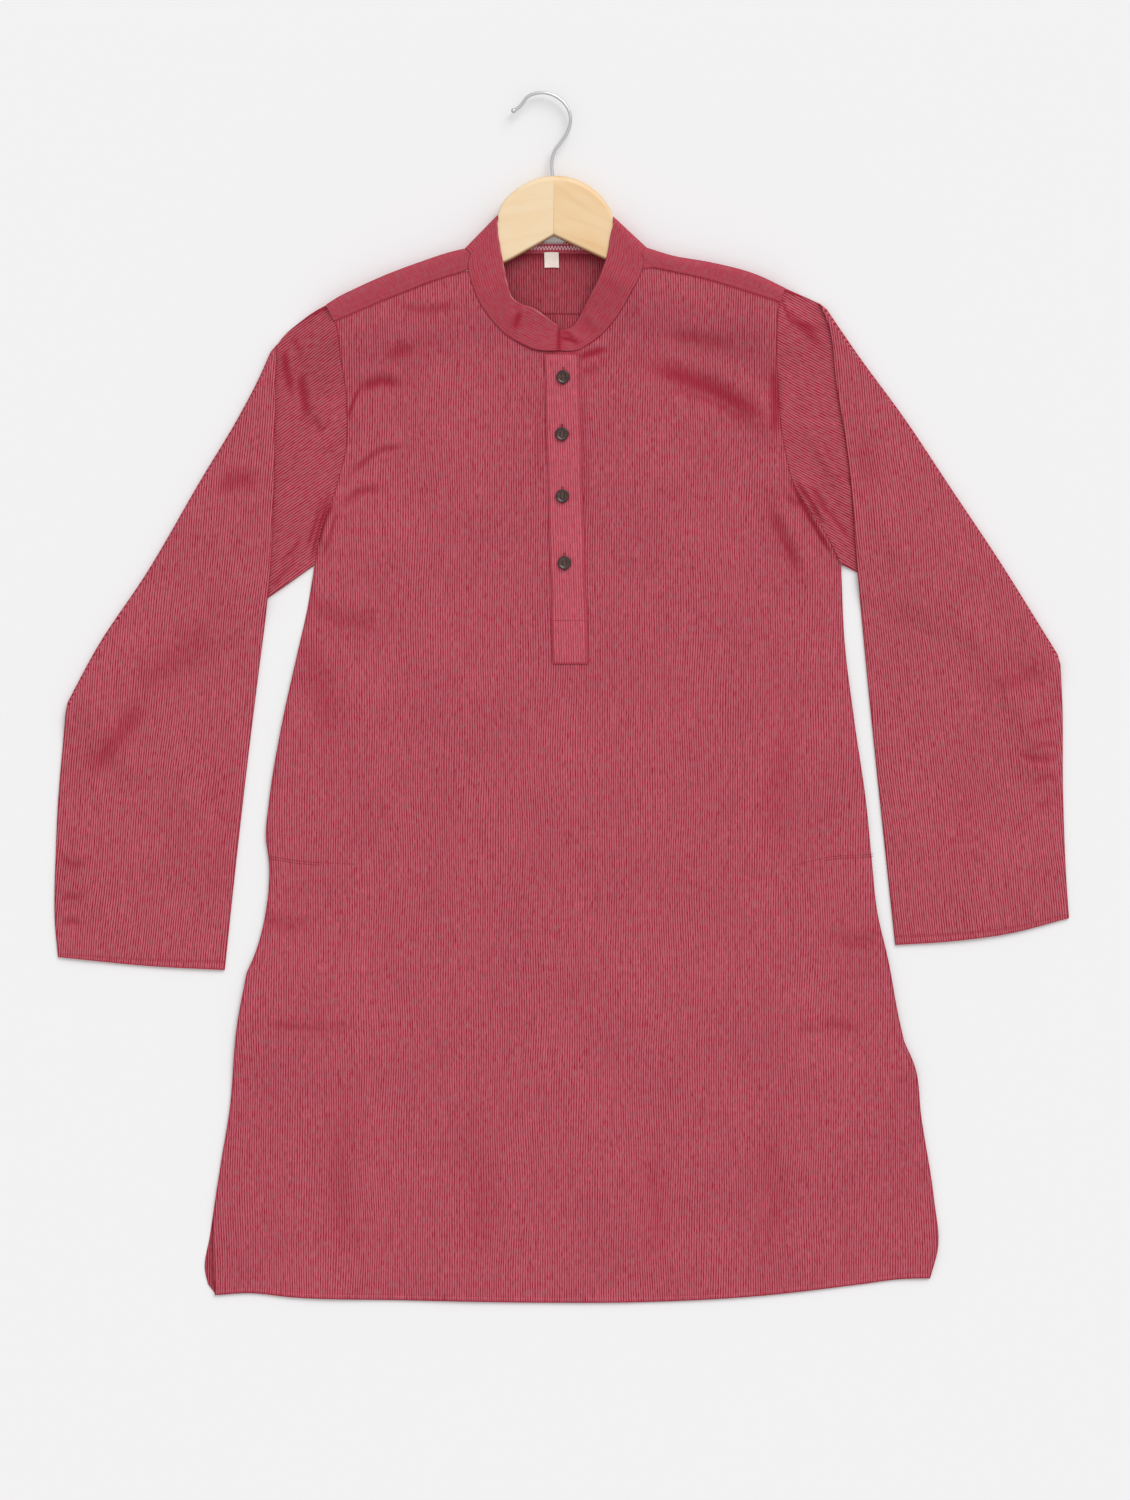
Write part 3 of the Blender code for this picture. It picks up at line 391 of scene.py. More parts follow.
def woodGroup():
    # growth lines: the cube of a sine across the grain bent by noise, with long fine pores
    tree, given, out = nodeGroup(
        "woodGrain", {"Place": None, "Pale": anyColour, "Tan": anyColour, "EdgeShade": anyColour, "Edge": 0.0},
        ("Color", "Height", "Roughness"))
    place = given["Place"]
    split = tree.nodes.new("ShaderNodeSeparateXYZ")
    tree.links.new(place, split.inputs[0])
    bend = calc(tree, "MULTIPLY", noise(tree, place, (9, 42, 9)), 2.6)
    turns = calc(tree, "MULTIPLY_ADD", split.outputs["Y"], 62.0, bend)
    wave = calc(tree, "SINE", calc(tree, "MULTIPLY", turns, 2 * math.pi))
    rings = calc(tree, "POWER", calc(tree, "MULTIPLY_ADD", wave, 0.5, 0.5), 3.0)
    pores = noise(tree, place, (70, 1500, 900))
    cloud = noise(tree, place, (14, 48, 20))
    tone = calc(tree, "MULTIPLY_ADD", rings, 0.22, calc(tree, "MULTIPLY_ADD", cloud, 1.5, -0.62))
    tone = calc(tree, "ADD", tone, calc(tree, "MULTIPLY_ADD", pores, 0.35, -0.17), clamp=True)
    colour = blended(tree, tone, given["Pale"], given["Tan"])
    # the Edge mark blends in a brown painted shade at the arm's upper outline and eased lower edge
    tree.links.new(blended(tree, given["Edge"], colour, given["EdgeShade"]), out["Color"])
    tree.links.new(calc(tree, "MULTIPLY_ADD", rings, 0.3, pores), out["Height"])
    tree.links.new(calc(tree, "MULTIPLY_ADD", tone, 0.16, 0.36), out["Roughness"])
    return tree


def material(name, group, values, place, bump=0.0, distance=0.0003, turn=0.0, attribute=None, fixed=None):
    # a Principled shader fed by one group; place is "weave" for the piece's UV map, or "Object"
    look = bpy.data.materials.new(name)
    look.use_nodes = True
    tree = look.node_tree
    shader = tree.nodes["Principled BSDF"]
    effect = tree.nodes.new("ShaderNodeGroup")
    effect.node_tree = group
    if place == "weave":
        source = tree.nodes.new("ShaderNodeUVMap")
        source.uv_map = "weave"
        vector = source.outputs[0]
    else:
        vector = tree.nodes.new("ShaderNodeTexCoord").outputs["Object"]
    if turn:
        mapping = tree.nodes.new("ShaderNodeMapping")
        mapping.inputs["Rotation"].default_value = (0, 0, turn)
        tree.links.new(vector, mapping.inputs["Vector"])
        vector = mapping.outputs[0]
    tree.links.new(vector, effect.inputs["Place"])
    for label, value in values.items():
        effect.inputs[label].default_value = value
    if attribute:
        mark = tree.nodes.new("ShaderNodeAttribute")
        mark.attribute_name = attribute[0]
        tree.links.new(mark.outputs["Fac"], effect.inputs[attribute[1]])
    tree.links.new(effect.outputs["Color"], shader.inputs["Base Color"])
    if "Roughness" in effect.outputs:
        tree.links.new(effect.outputs["Roughness"], shader.inputs["Roughness"])
    for label, value in (fixed or {}).items():
        shader.inputs[label].default_value = value
    if bump:
        relief = tree.nodes.new("ShaderNodeBump")
        relief.inputs["Strength"].default_value = bump
        relief.inputs["Distance"].default_value = distance
        tree.links.new(effect.outputs["Height"], relief.inputs["Height"])
        tree.links.new(relief.outputs[0], shader.inputs["Normal"])
    return look


def paint(red, green, blue):
    # a colour named by its screen values from 0 to 255, as the shader's linear values
    c = np.array([red, green, blue]) / 255.0
    return (*np.where(c <= 0.04045, c / 12.92, ((c + 0.055) / 1.055) ** 2.4).tolist(), 1.0)


weaveGroup = stripedWeave()
fibre = fibreGroup()
grain = woodGroup()
clothFixed = {"Sheen Weight": 0.02, "Sheen Roughness": 0.5, "Specular IOR Level": 0.1}


def wovenLook(name, red, pale, foldShade, contrast=1.0, dull=(152, 96, 102)):
    # striped cloth from its red and pale yarns, the colour of painted shade in folds and at rims, and its
    # dull patches
    return material(name, weaveGroup,
                    {"Red": paint(*red), "Pale": paint(*pale), "ShadeColour": paint(*foldShade),
                     "Worn": paint(222, 150, 160), "Dull": paint(*dull), "Contrast": contrast},
                    "weave", bump=0.35, distance=0.0002, attribute=("crease", "ShadeAndWear"), fixed=clothFixed)


def threadLook(name, tint, roughness=0.7):
    # sewing thread: the fibre group at half its size
    return material(name, fibre, {"Tint": paint(*tint), "Scale": 2.0}, "Object",
                    fixed={"Roughness": roughness})


looks = {
    "body": wovenLook("bodyCloth", (146, 26, 48), (206, 97, 114), (150, 24, 44), 1.25, (150, 104, 108)),
    # the back's cloth is the body's own, painted darker as shade; it also lines the yoke's inner face
    "back": wovenLook("backClothShaded", (130, 24, 40), (188, 82, 96), (112, 18, 32), 1.1, (128, 80, 84)),
    "yoke": wovenLook("yokeCloth", (158, 38, 58), (190, 80, 95), (134, 20, 38), 0.35),
    "collar": wovenLook("collarCloth", (160, 34, 52), (192, 82, 97), (158, 24, 44), 0.5),
    "sleeve": wovenLook("sleeveCloth", (144, 25, 45), (208, 99, 115), (148, 24, 42), 1.35, (150, 104, 108)),
    "placket": wovenLook("placketCloth", (168, 42, 62), (214, 106, 121), (150, 26, 46), 0.8),
    "bag": material("bagCloth", fibre, {"Tint": paint(190, 96, 108)}, "weave", bump=0.3,
                    fixed={"Roughness": 0.9, "Specular IOR Level": 0.2}),
    "label": material("labelTape", fibre, {"Tint": paint(242, 224, 214)}, "Object", bump=0.3,
                      fixed={"Roughness": 0.55, "Sheen Weight": 0.1}),
    "thread": threadLook("redThread", (196, 84, 102)),
    "darkThread": threadLook("darkThread", (150, 34, 54)),
    "paleThread": threadLook("paleThread", (246, 196, 204)),
    "brownThread": threadLook("brownThread", (120, 84, 70), 0.6),
}
for armName, armTurn, pale, tan in (
        ("left", math.radians(-12), (247, 221, 183), (238, 203, 154)),
        ("right", math.radians(24), (244, 211, 166), (232, 184, 126))):
    looks["wood_" + armName] = material(
        "wood_" + armName, grain,
        {"Pale": paint(*pale), "Tan": paint(*tan), "EdgeShade": paint(150, 104, 62)}, "Object",
        bump=0.06, distance=0.0003, turn=armTurn, attribute=("crease", "Edge"),
        fixed={"Coat Weight": 0.25, "Coat Roughness": 0.25})
print("materials made:", len(looks))


# Outlines of the cut, each a table with the columns x, y

armholeLeft = [(-223.2, 372.4), (-214.7, 356.2), (-209.0, 319.7), (-204.2, 287.4), (-203.3, 259.8),
               (-205.2, 232.3), (-209.9, 213.3), (-216.6, 190.5), (-224.2, 169.6), (-230.8, 144.9),
               (-234.2, 124.0)]
sideLeft = [(-234.2, 124.0), (-241.3, 82.2), (-248.9, 48.0), (-264.1, -20.4), (-277.4, -100.2),
            (-280.2, -134.4), (-277.4, -154.4), (-280.2, -202.8), (-292.6, -248.4), (-298.3, -260.8)]
ventLeft = [(-298.3, -260.8), (-306.8, -305.4), (-315.4, -396.6), (-323.0, -442.2),
            (-330.6, -501.1), (-328.7, -567.6)]
ventLeftBack = [(-298.3, -260.8), (-306.8, -305.4), (-315.4, -396.6), (-323.0, -442.2),
                (-333.4, -510.6), (-338.2, -544.8), (-335.3, -557.2)]
armholeRight = [(212.8, 388.5), (207.6, 374.3), (205.2, 342.5), (206.1, 296.9), (209.0, 259.8),
                (214.7, 227.5), (220.4, 204.7), (231.8, 183.8), (247.9, 161.0), (266.0, 124.9)]
sideRight = [(266.0, 124.9), (269.8, 48.0), (278.3, -20.4), (289.8, -100.2), (295.4, -157.2),
             (300.2, -202.8), (310.6, -248.4), (321.1, -305.4), (325.8, -326.3)]
ventRight = [(325.8, -326.3), (336.3, -351.0), (342.0, -396.6), (354.3, -476.4),
             (358.1, -522.0), (350.6, -551.5)]
hemLine = [(-328.7, -567.6), (-295.4, -565.7), (-257.4, -569.5), (-152.9, -572.4), (-0.9, -574.8),
           (75.0, -574.3), (185.2, -568.6), (285.0, -557.2), (322.1, -552.4), (350.6, -551.5)]
shoulderLeft = [(-223.2, 372.4), (-213.8, 378.6), (-190.9, 390.0), (-165.3, 401.4),
                (-134.9, 412.8), (-98.8, 424.2), (-91.15, 425.85)]
shoulderRight = [(81.85, 426.5), (105.4, 419.4), (142.5, 412.8), (185.2, 401.4), (212.8, 388.5)]
yokeSeamLeft = [(-214.7, 356.2), (-154.8, 381.4), (-113.0, 397.1), (-88.05, 404.4)]
yokeSeamRight = [(78.0, 409.2), (103.5, 403.8), (132.0, 397.6), (173.8, 385.2), (207.6, 374.3)]
backSeam = [(-214.9, 357.5), (-105.4, 362.4), (-6.6, 363.8), (94.0, 362.4), (205.0, 360.5)]

# hanger plan, with the columns upper x, y and lower x, y
mitreX = -6.9
woodLeft = [(mitreX - 0.005, 495.0, mitreX - 0.12, 437.5), (-20.0, 493.1, -20.0, 430.1),
            (-34.0, 487.4, -34.0, 422.3), (-47.0, 478.2, -46.0, 415.6), (-56.2, 467.9, -55.0, 411.0),
            (-58.9, 460.2, -60.0, 408.2), (-60.4, 452.6, -66.0, 405.2), (-70.0, 440.2, -80.0, 399.0),
            (-81.0, 430.0, -92.0, 394.2), (-91.0, 421.2, -103.0, 390.2), (-105.0, 417.9, -114.0, 386.2),
            (-128.0, 411.8, -136.0, 378.8), (-158.0, 401.2, -166.0, 369.4), (-186.0, 389.4, -192.0, 360.6),
            (-206.0, 379.6, -209.0, 356.4), (-212.6, 374.4, -213.4, 361.6)]
woodRight = [(mitreX + 0.005, 495.0, mitreX + 0.12, 437.5), (8.0, 493.3, 8.0, 430.6),
             (22.0, 487.8, 22.0, 424.1), (34.6, 478.7, 34.0, 418.6), (43.8, 467.5, 44.0, 414.0),
             (48.1, 459.4, 49.0, 411.8), (49.6, 451.8, 56.0, 409.0), (59.5, 440.4, 71.0, 403.6),
             (71.0, 430.2, 83.0, 400.0), (81.0, 421.4, 93.0, 397.0), (94.0, 418.0, 103.0, 394.0),
             (118.0, 413.6, 126.0, 387.6), (148.0, 407.4, 152.0, 379.0), (176.0, 399.8, 178.0, 370.2),
             (194.0, 392.4, 193.0, 365.2), (201.4, 388.4, 199.2, 372.2)]

wood = {"thick": 12.0, "gap": 0.5, "bottom": 2.3, "eased": 3.0}

# How the cloth lies

drape = {"margin": 7.0, "fall": 68.0, "bag": 1.3, "bagMargin": 38.0, "bagSoft": 40.0, "bagEdge": 0.45,
         "crease": 1.5}
tentHeight = wood["bottom"] + wood["thick"] + wood["gap"] - frontLow

bagLeft = [(-258.5, -6.0), (-219.4, -10.9), (-186.2, -311.1), (-286.0, -311.1), (-276.0, -210.0),
           (-274.0, -120.0)]
bagRight = [(270.5, -6.0), (219.4, -10.9), (222.3, -311.1), (311.0, -311.1), (297.0, -210.0),
            (287.0, -120.0)]

# straight soft ridges, with the columns x, y at each end, half width, height
frontRidges = [(-203.0, 264.0, -162.0, 322.0, 14.0, 2.6), (-226.0, 147.0, -212.0, 190.0, 12.0, 3.2),
               (148.0, 312.0, 204.0, 252.0, 13.0, 2.8), (226.0, 208.0, 262.0, 134.0, 12.0, 3.6),
               (214.0, 182.0, 240.0, 110.0, 13.0, 2.4), (-120.0, 60.0, -90.0, -160.0, 26.0, 1.6),
               (110.0, 80.0, 150.0, -180.0, 28.0, 1.8), (-30.0, -120.0, -50.0, -400.0, 30.0, 1.4),
               (200.0, -260.0, 236.0, -480.0, 26.0, 1.8), (-250.0, -300.0, -262.0, -500.0, 24.0, 1.8)]
underRidges = [(-222.0, 312.0, -228.0, 262.0, 12.0, 2.4), (236.0, 262.0, 276.0, 176.0, 12.0, 2.8),
               (222.0, 372.0, 244.0, 340.0, 9.0, 2.0)]
sleeveRidges = [(-340.0, 196.0, -300.0, 214.0, 12.0, 2.2), (-452.0, -4.0, -404.0, -70.0, 14.0, 3.0),
                (-466.0, -120.0, -440.0, -205.0, 11.0, 2.4), (-390.0, 20.0, -330.0, -200.0, 26.0, 2.0),
                (392.0, 60.0, 470.0, -64.0, 15.0, 3.2), (440.0, -70.0, 474.0, -66.0, 9.0, 2.4),
                (300.0, 180.0, 330.0, 110.0, 14.0, 2.0), (350.0, 10.0, 385.0, -190.0, 26.0, 2.0)]

# curved creases, with the columns line, half width, height, trough beside it as a share (+ to the
# line's right), and how deep the painted shade in the trough is
bodyCreases = [
    ([(-206, 263), (-202, 276), (-193, 298)], 1.8, 0.9, 0.9, 1.0),
    ([(-196, 300), (-172, 309), (-150, 306)], 5.0, 0.8, 0.9, 0.75),
    ([(-172, 330), (-155, 341), (-139, 343)], 7.0, 0.6, 0.8, 0.55),
    ([(-204, 215), (-192, 226), (-176, 238), (-150, 244)], 3.0, 0.8, 0.8, 0.5),
    ([(-228, 140), (-221, 166), (-213, 186)], 2.0, 1.0, -0.9, 0.8),
    ([(-214, 186), (-196, 200), (-170, 206)], 4.0, 0.8, 0.8, 0.5),
    ([(85, 330), (112, 322), (150, 307), (205, 277)], 9.0, 1.0, 1.0, 0.75),
    ([(104, 306), (150, 290), (196, 262)], 6.0, 0.7, 0.7, 0.35),
    ([(100, 356), (130, 352), (170, 344)], 7.0, 0.6, 0.7, 0.4),
    ([(220, 208), (236, 178), (260, 136)], 2.2, 1.4, 0.9, 0.95),
    ([(216, 196), (232, 190), (246, 198)], 4.0, 0.8, 0.6, 0.5),
    ([(206, 186), (222, 152), (236, 122)], 6.0, 0.9, 0.8, 0.5),
    ([(14, 327), (26, 332), (43, 337)], 3.4, 0.7, 0.8, 0.95),
    ([(18, 316), (34, 322)], 5.0, 0.4, 0.6, 0.5),
    ([(26, 300), (27, 240), (31, 170)], 3.2, 0.5, 0.4, 0.2),
    ([(-26, 300), (-27, 250), (-24, 190)], 3.0, 0.4, -0.4, 0.2),
    ([(-150, 378), (-122, 376), (-100, 380)], 5.0, 0.5, 0.7, 0.4),
    ([(-226, 70), (-205, 20), (-196, -40)], 14.0, 0.9, 0.6, 0.2),
    ([(-232, 108), (-210, 90), (-170, 84)], 9.0, 0.8, 0.7, 0.25),
    ([(196, -20), (180, -80), (176, -140)], 14.0, 0.9, -0.6, 0.2),
    ([(-284, -196), (-262, -206), (-240, -204)], 6.0, 0.8, 0.5, 0.3),
    ([(300, -214), (280, -222), (262, -219)], 6.0, 0.8, -0.5, 0.3),
    ([(-282, -305), (-240, -307), (-193, -308)], 3.0, 0.4, 0.8, 0.45),
    ([(224, -308), (256, -307), (284, -306)], 3.0, 0.4, 0.8, 0.45),
    ([(-60, -420), (-52, -470), (-58, -540)], 14.0, 0.8, 0.5, 0.15),
    ([(60, -430), (70, -490), (66, -548)], 13.0, 0.8, -0.5, 0.15),
    ([(-180, -380), (-190, -450), (-184, -540)], 12.0, 0.8, 0.5, 0.15),
    ([(210, -400), (222, -460), (216, -540)], 12.0, 0.8, 0.5, 0.15),
]
underCreases = [
    ([(-240, 311), (-237, 288), (-233, 266)], 4.5, 1.0, 0.9, 0.9),
    ([(-231, 270), (-226, 260), (-220, 255)], 2.5, 0.6, 0.8, 0.6),
    ([(-257, 332), (-254, 312), (-249, 290)], 4.0, 0.8, 0.9, 1.0),
    ([(-252, 350), (-244, 336), (-240, 318)], 4.0, 0.6, 0.8, 0.5),
    ([(-216, 197), (-224, 168), (-234, 131)], 1.8, 1.0, 0.9, 1.0),
    ([(-223, 190), (-231, 164), (-239, 140)], 1.8, 0.8, 0.8, 0.8),
    ([(-214, 178), (-220, 160), (-227, 136)], 1.5, 0.6, -0.8, 0.7),
    ([(-240, 150), (-252, 136), (-262, 122)], 3.0, 0.7, 0.7, 0.5),
    ([(-246, 128), (-262, 112), (-272, 100)], 3.0, 0.7, 0.7, 0.5),
    ([(210, 381), (219, 363), (251, 352)], 1.8, 1.0, 0.9, 0.9),
    ([(216, 372), (236, 356), (254, 340)], 5.0, 0.7, 0.9, 0.7),
    ([(210, 316), (212, 280), (211, 246)], 5.0, 1.0, 0.9, 0.8),
    ([(238, 248), (258, 214), (282, 190)], 3.5, 1.0, -0.7, 0.3),
    ([(232, 190), (252, 170), (276, 140)], 3.0, 1.0, -0.8, 0.6),
    ([(224, 210), (240, 188), (252, 166)], 2.2, 0.9, 0.8, 0.9),
    ([(240, 204), (250, 192), (256, 178)], 3.0, 0.8, 0.8, 0.7),
]
sleeveCreases = [
    ([(-338, 214), (-312, 222), (-284, 220)], 9.0, 0.9, 0.8, 0.5),
    ([(-462, -62), (-436, -30), (-410, 6)], 10.0, 0.9, 0.8, 0.45),
    ([(-474, -142), (-462, -152), (-452, -150)], 4.0, 0.9, 0.8, 0.4),
    ([(-477, -178), (-466, -184), (-456, -182)], 3.5, 0.8, 0.7, 0.4),
    ([(-478, -212), (-464, -206), (-452, -212)], 3.5, 0.7, 0.7, 0.4),
    ([(-420, 30), (-380, 60), (-350, 90)], 16.0, 0.9, 0.5, 0.2),
    ([(-360, -180), (-352, -110), (-362, -50)], 18.0, 0.6, 0.4, 0.1),
    ([(475, -30), (458, -28), (444, -34)], 3.5, 0.9, 0.7, 0.4),
    ([(476, -52), (462, -50), (450, -54)], 3.5, 0.9, 0.7, 0.4),
    ([(477, -64), (452, -66), (430, -60)], 4.5, 1.0, 0.8, 0.5),
    ([(479, -86), (462, -82), (448, -88)], 3.5, 0.9, 0.7, 0.4),
    ([(480, -110), (466, -106), (454, -110)], 3.5, 0.8, 0.7, 0.4),
    ([(470, 20), (440, 0), (410, -6)], 10.0, 0.9, 0.7, 0.3),
    ([(300, 270), (312, 220), (306, 170)], 14.0, 0.8, 0.5, 0.15),
    ([(410, -60), (416, -120), (404, -180)], 18.0, 0.6, 0.4, 0.1),
]


hangerOutline = np.concatenate([np.array(woodLeft)[::-1, :2], np.array(woodRight)[:, :2],
                                np.array(woodRight)[::-1, 2:], np.array(woodLeft)[:, 2:]])


def tent(points):
    # lift of the front over the hanger, level on it and coming down smoothly past it
    return tentHeight * (1.0 - soft((distanceTo(hangerOutline, points) - drape["margin"]) / drape["fall"]))


def ridges(points, table):
    # straight soft ridges: a bell curve across each, fading at its ends
    lift = np.zeros(points.shape[:-1])
    for x0, y0, x1, y1, half, height in table:
        run = np.array([x1 - x0, y1 - y0])
        away = points - np.array([x0, y0])
        along = away @ run / lengths(run)**2
        side = (away[..., 0] * run[1] - away[..., 1] * run[0]) / lengths(run)
        lift = lift + height * bell(side, half) * soft((along + 0.25) / 0.4) * soft((1.25 - along) / 0.4)
    return lift


def creases(points, table):
    # bell-shaped ridge along a curved line with a softer trough beside it; returns lift and depth, the
    # painted shade in the trough
    lift, depth = np.zeros(points.shape[:-1]), np.zeros(points.shape[:-1])
    for line, half, high, trough, foldShade in table:
        curve = through(line, np.linspace(0, 1, 21))
        run = np.diff(curve, axis=0)
        away = points[..., None, :] - curve[:-1]
        w = np.clip((away * run).sum(-1) / (run**2).sum(-1), 0, 1)
        off = away - w[..., None] * run
        nearest = lengths(off).argmin(-1)[..., None]
        far, w, turned = (np.take_along_axis(value, nearest, -1)[..., 0] for value in (
            lengths(off), w, off[..., 0] * run[:, 1] - off[..., 1] * run[:, 0]))
        side = np.where(turned >= 0, far, -far)
        along = (nearest[..., 0] + w) / len(run)
        ends = soft(along / 0.35 + 0.25) * soft((1 - along) / 0.35 + 0.25)
        hollow = bell(side - math.copysign(1.7 * half, trough), 0.9 * half)
        lift = lift + high * (bell(side, half) - abs(trough) * hollow) * ends
        depth = np.maximum(depth, foldShade * hollow * ends)
    return drape["crease"] * lift, depth


def waves(points, size, seed):
    # slow unevenness of laid cloth: a sum of five long waves in fixed directions
    draw = np.random.default_rng(seed)
    angle, length, phase = draw.uniform(0, math.pi, 5), draw.uniform(70, 190, 5), draw.uniform(0, 6.28, 5)
    across = points[..., :1] * np.cos(angle) + points[..., 1:2] * np.sin(angle)
    return size * np.sin(across * 2 * math.pi / length + phase).sum(-1) / math.sqrt(5)


def bagLift(points):
    # the bags lift the front, falling off smoothly past them; each edge presses a faint step into it
    far = np.stack([distanceTo(corners, points) for corners in (bagLeft, bagRight)])
    lift = drape["bag"] * (1.0 - soft((far - drape["bagMargin"]) / drape["bagSoft"]))
    return lift.max(0) + drape["bagEdge"] * bell(far, 3.5).sum(0)


def frontLift(points):
    # all that lifts the front off the back; returns the lift and the painted shade in its creases
    over = tent(points)
    fine, depth = creases(points, bodyCreases + underCreases)
    room = 0.5 + 0.3 * over * soft((distanceTo(hangerOutline, points) - 8.0) / 20.0)
    fine = np.maximum(fine + waves(points, 0.28, 5), -room)
    return over + bagLift(points) + ridges(points, frontRidges + underRidges) + fine, depth


def frontTop(points):
    # height of the front's upper face at places on the plan
    return frontLow + cloth["under"] + cloth["thick"] + frontLift(np.asarray(points, float))[0]


def straightGrain(points, seed=3):
    # place on the cut of a panel whose stripes run down the body, bent a little as it lies
    return np.stack([points[..., 0] + waves(points, 0.9, seed), points[..., 1]], -1)


# Front and back

frontPiece = {"seamEnd": 0.30, "neckEnd": 0.695, "width": 650.0, "step": 3.5, "rows": (92, 62),
              "ventStep": 5.6, "ventLong": 308.0, "edgeSeam": 5.0,
              "neckEnds": ((-88.0, 403.9), (78.0, 408.6))}


def sidePoints(parts, fractions):
    # points down one side: armhole from its second point, side seam and vent
    steps = lengths(np.diff(parts[0], axis=0))
    starts = (steps[0] / steps.sum(), 0.0, 0.0)
    runs = [through(part, start + (1 - start) * f) for part, f, start in zip(parts, fractions, starts)]
    return np.concatenate([runs[0]] + [run[1:] for run in runs[1:]])


def neckLine(t):
    # the neck edge of the front, just outside the collar's seam
    seam = [row[:2] for row in collarLeft[:-1]][::-1] + [row[:2] for row in collarRight[1:-2]][::-1]
    outside = shifted(seam, -cloth["seam"])
    outside[0], outside[-1] = frontPiece["neckEnds"]
    return through(outside, t)


# collar stations: seam x, y and edge x, y, from the left end round the neck to the right end
collarLeft = [(-3.8, 328.7, -2.8, 352.9), (-23.8, 330.1, -14.2, 361.5), (-37.5, 335.8, -25.6, 369.1),
              (-53.2, 345.3, -37.0, 373.2), (-65.5, 357.7, -45.6, 378.6), (-77.0, 373.8, -50.3, 390.9),
              (-84.5, 390.9, -53.7, 407.1), (-87.9, 405.2, -56.6, 422.3), (-87.9, 412.8, -59.1, 437.0)]
collarFoldLeft = (-91.2, 426.1, -59.9, 458.0)
collarBack = [(-78.0, 420.8, -46.0, 453.0), (-40.0, 421.4, -26.0, 440.5), (-21.0, 421.5, -17.0, 432.0),
              (-6.9, 421.6, -6.9, 431.4), (9.0, 421.5, 4.0, 432.0), (26.0, 421.4, 13.0, 440.5),
              (69.0, 420.8, 36.5, 453.0)]
collarFoldRight = (81.7, 426.5, 49.4, 456.5)
collarRight = [(78.4, 413.7, 47.0, 438.4), (77.5, 406.1, 43.7, 419.4), (72.2, 393.8, 39.9, 408.0),
               (64.6, 380.5, 34.2, 393.8), (55.1, 364.3, 27.5, 381.4), (43.7, 350.1, 21.8, 370.0),
               (29.4, 337.7, 15.2, 357.7), (15.2, 329.6, 7.6, 350.6), (-1.9, 329.2, -3.9, 349.1),
               (-15.0, 330.2, -14.0, 350.0)]


def hemRelief(plan):
    # the stitched fold along the hem and vents: thicker to its edge, with a groove at the stitching
    far = lengths(plan - plan[-1:])
    for edge, vent in ((0, ventLeft), (-1, ventRight)):
        above = soft((plan[..., 1] - vent[0][1]) / 8.0)
        far = np.minimum(far, lengths(plan - plan[:, [edge]]) + 40.0 * above)
    wide = cloth["hemWide"]
    return (cloth["hemThick"] * soft((wide + 0.5 - far) / 0.7)
            - 0.3 * bell(far - wide, 0.45) - 0.35 * bell(far, 0.5))


def panelSides(ventLeftEdge):
    # both sides of a panel, half a seam inside the outline
    rows = [np.linspace(0, 1, n + 1) for n in frontPiece["rows"]]
    rows.append(spaced(frontPiece["ventLong"], frontPiece["ventStep"], fineEnd=True))
    inset = np.array([cloth["seam"] / 2, 0])
    return (sidePoints((armholeLeft, sideLeft, ventLeftEdge), rows) + inset,
            sidePoints((armholeRight, sideRight, ventRight), rows) - inset)


def frontPanel():
    # Coons grid between neck and yoke seams, hem and sides, raised by all that lifts the front
    a, b = frontPiece["seamEnd"], frontPiece["neckEnd"]
    wide, step = frontPiece["width"], frontPiece["step"]
    parts = [spaced(a * wide, step, fineStart=True), spaced((b - a) * wide, step),
             spaced((1 - b) * wide, step, fineEnd=True)]
    left, right = panelSides(ventLeft)
    below = np.array([0.0, -cloth["seam"] / 2])
    top = np.concatenate([through(yokeSeamLeft, parts[0][:-1]) + below, neckLine(parts[1]),
                          through(yokeSeamRight, parts[2][1:]) + below])
    across = np.concatenate([parts[0][:-1] * a, a + parts[1] * (b - a), b + parts[2][1:] * (1 - b)])
    left[0], right[0] = top[0], top[-1]
    bottom = through(hemLine, across)
    left[-1], right[-1] = bottom[0], bottom[-1]
    plan = filled(top, bottom, left, right, across, chordOf(left) / chordOf(left)[-1])
    lift, depth = frontLift(plan)
    beside = np.minimum(lengths(plan - plan[:, :1]), lengths(plan - plan[:, -1:]))
    seamRoll = 0.8 * (1 - soft(beside / frontPiece["edgeSeam"])) * soft((plan[..., 1] + 262.0) / 20.0)
    low = frontLow + cloth["under"] + lift - seamRoll * soft((130.0 - plan[..., 1]) / 12.0)
    relief = hemRelief(plan)
    high = low + cloth["thick"] + relief
    border = np.minimum(beside, lengths(plan - plan[-1:]))
    # painted shade: a dark outline along the sides and hem, in the hem's stitch groove and at its edge, and
    # along the top seam
    for mark in (0.75 * bell(border, 1.1), 0.5 * np.clip(-relief / 0.3, 0, 1),
                 0.6 * bell(lengths(plan - plan[:1]), 1.0)):
        depth = np.maximum(depth, mark)
    return clothShell("frontPanel", raised(plan, high), raised(plan, low), straightGrain(plan),
                      looks["body"], depth)


def backPanel():
    # Coons grid between the back yoke seam and a hem 1 mm above the front's
    left, right = panelSides(ventLeftBack)
    across = spaced(frontPiece["width"], 7.0, True, True)
    top = through(backSeam, across) - np.array([0, cloth["seam"]])
    hem = through(hemLine, across) + np.array([0, 1.0])
    left[0], right[0] = top[0], top[-1]
    hem[0], hem[-1] = left[-1], right[-1]
    plan = filled(top, hem, left, right, across, chordOf(left) / chordOf(left)[-1])
    high = 0.15 + cloth["thick"] + 0.6 * hemRelief(plan) + waves(plan, 0.05, 8)
    return clothShell("backPanel", raised(plan, high), raised(plan, 0.02), straightGrain(plan, 7),
                      looks["back"])


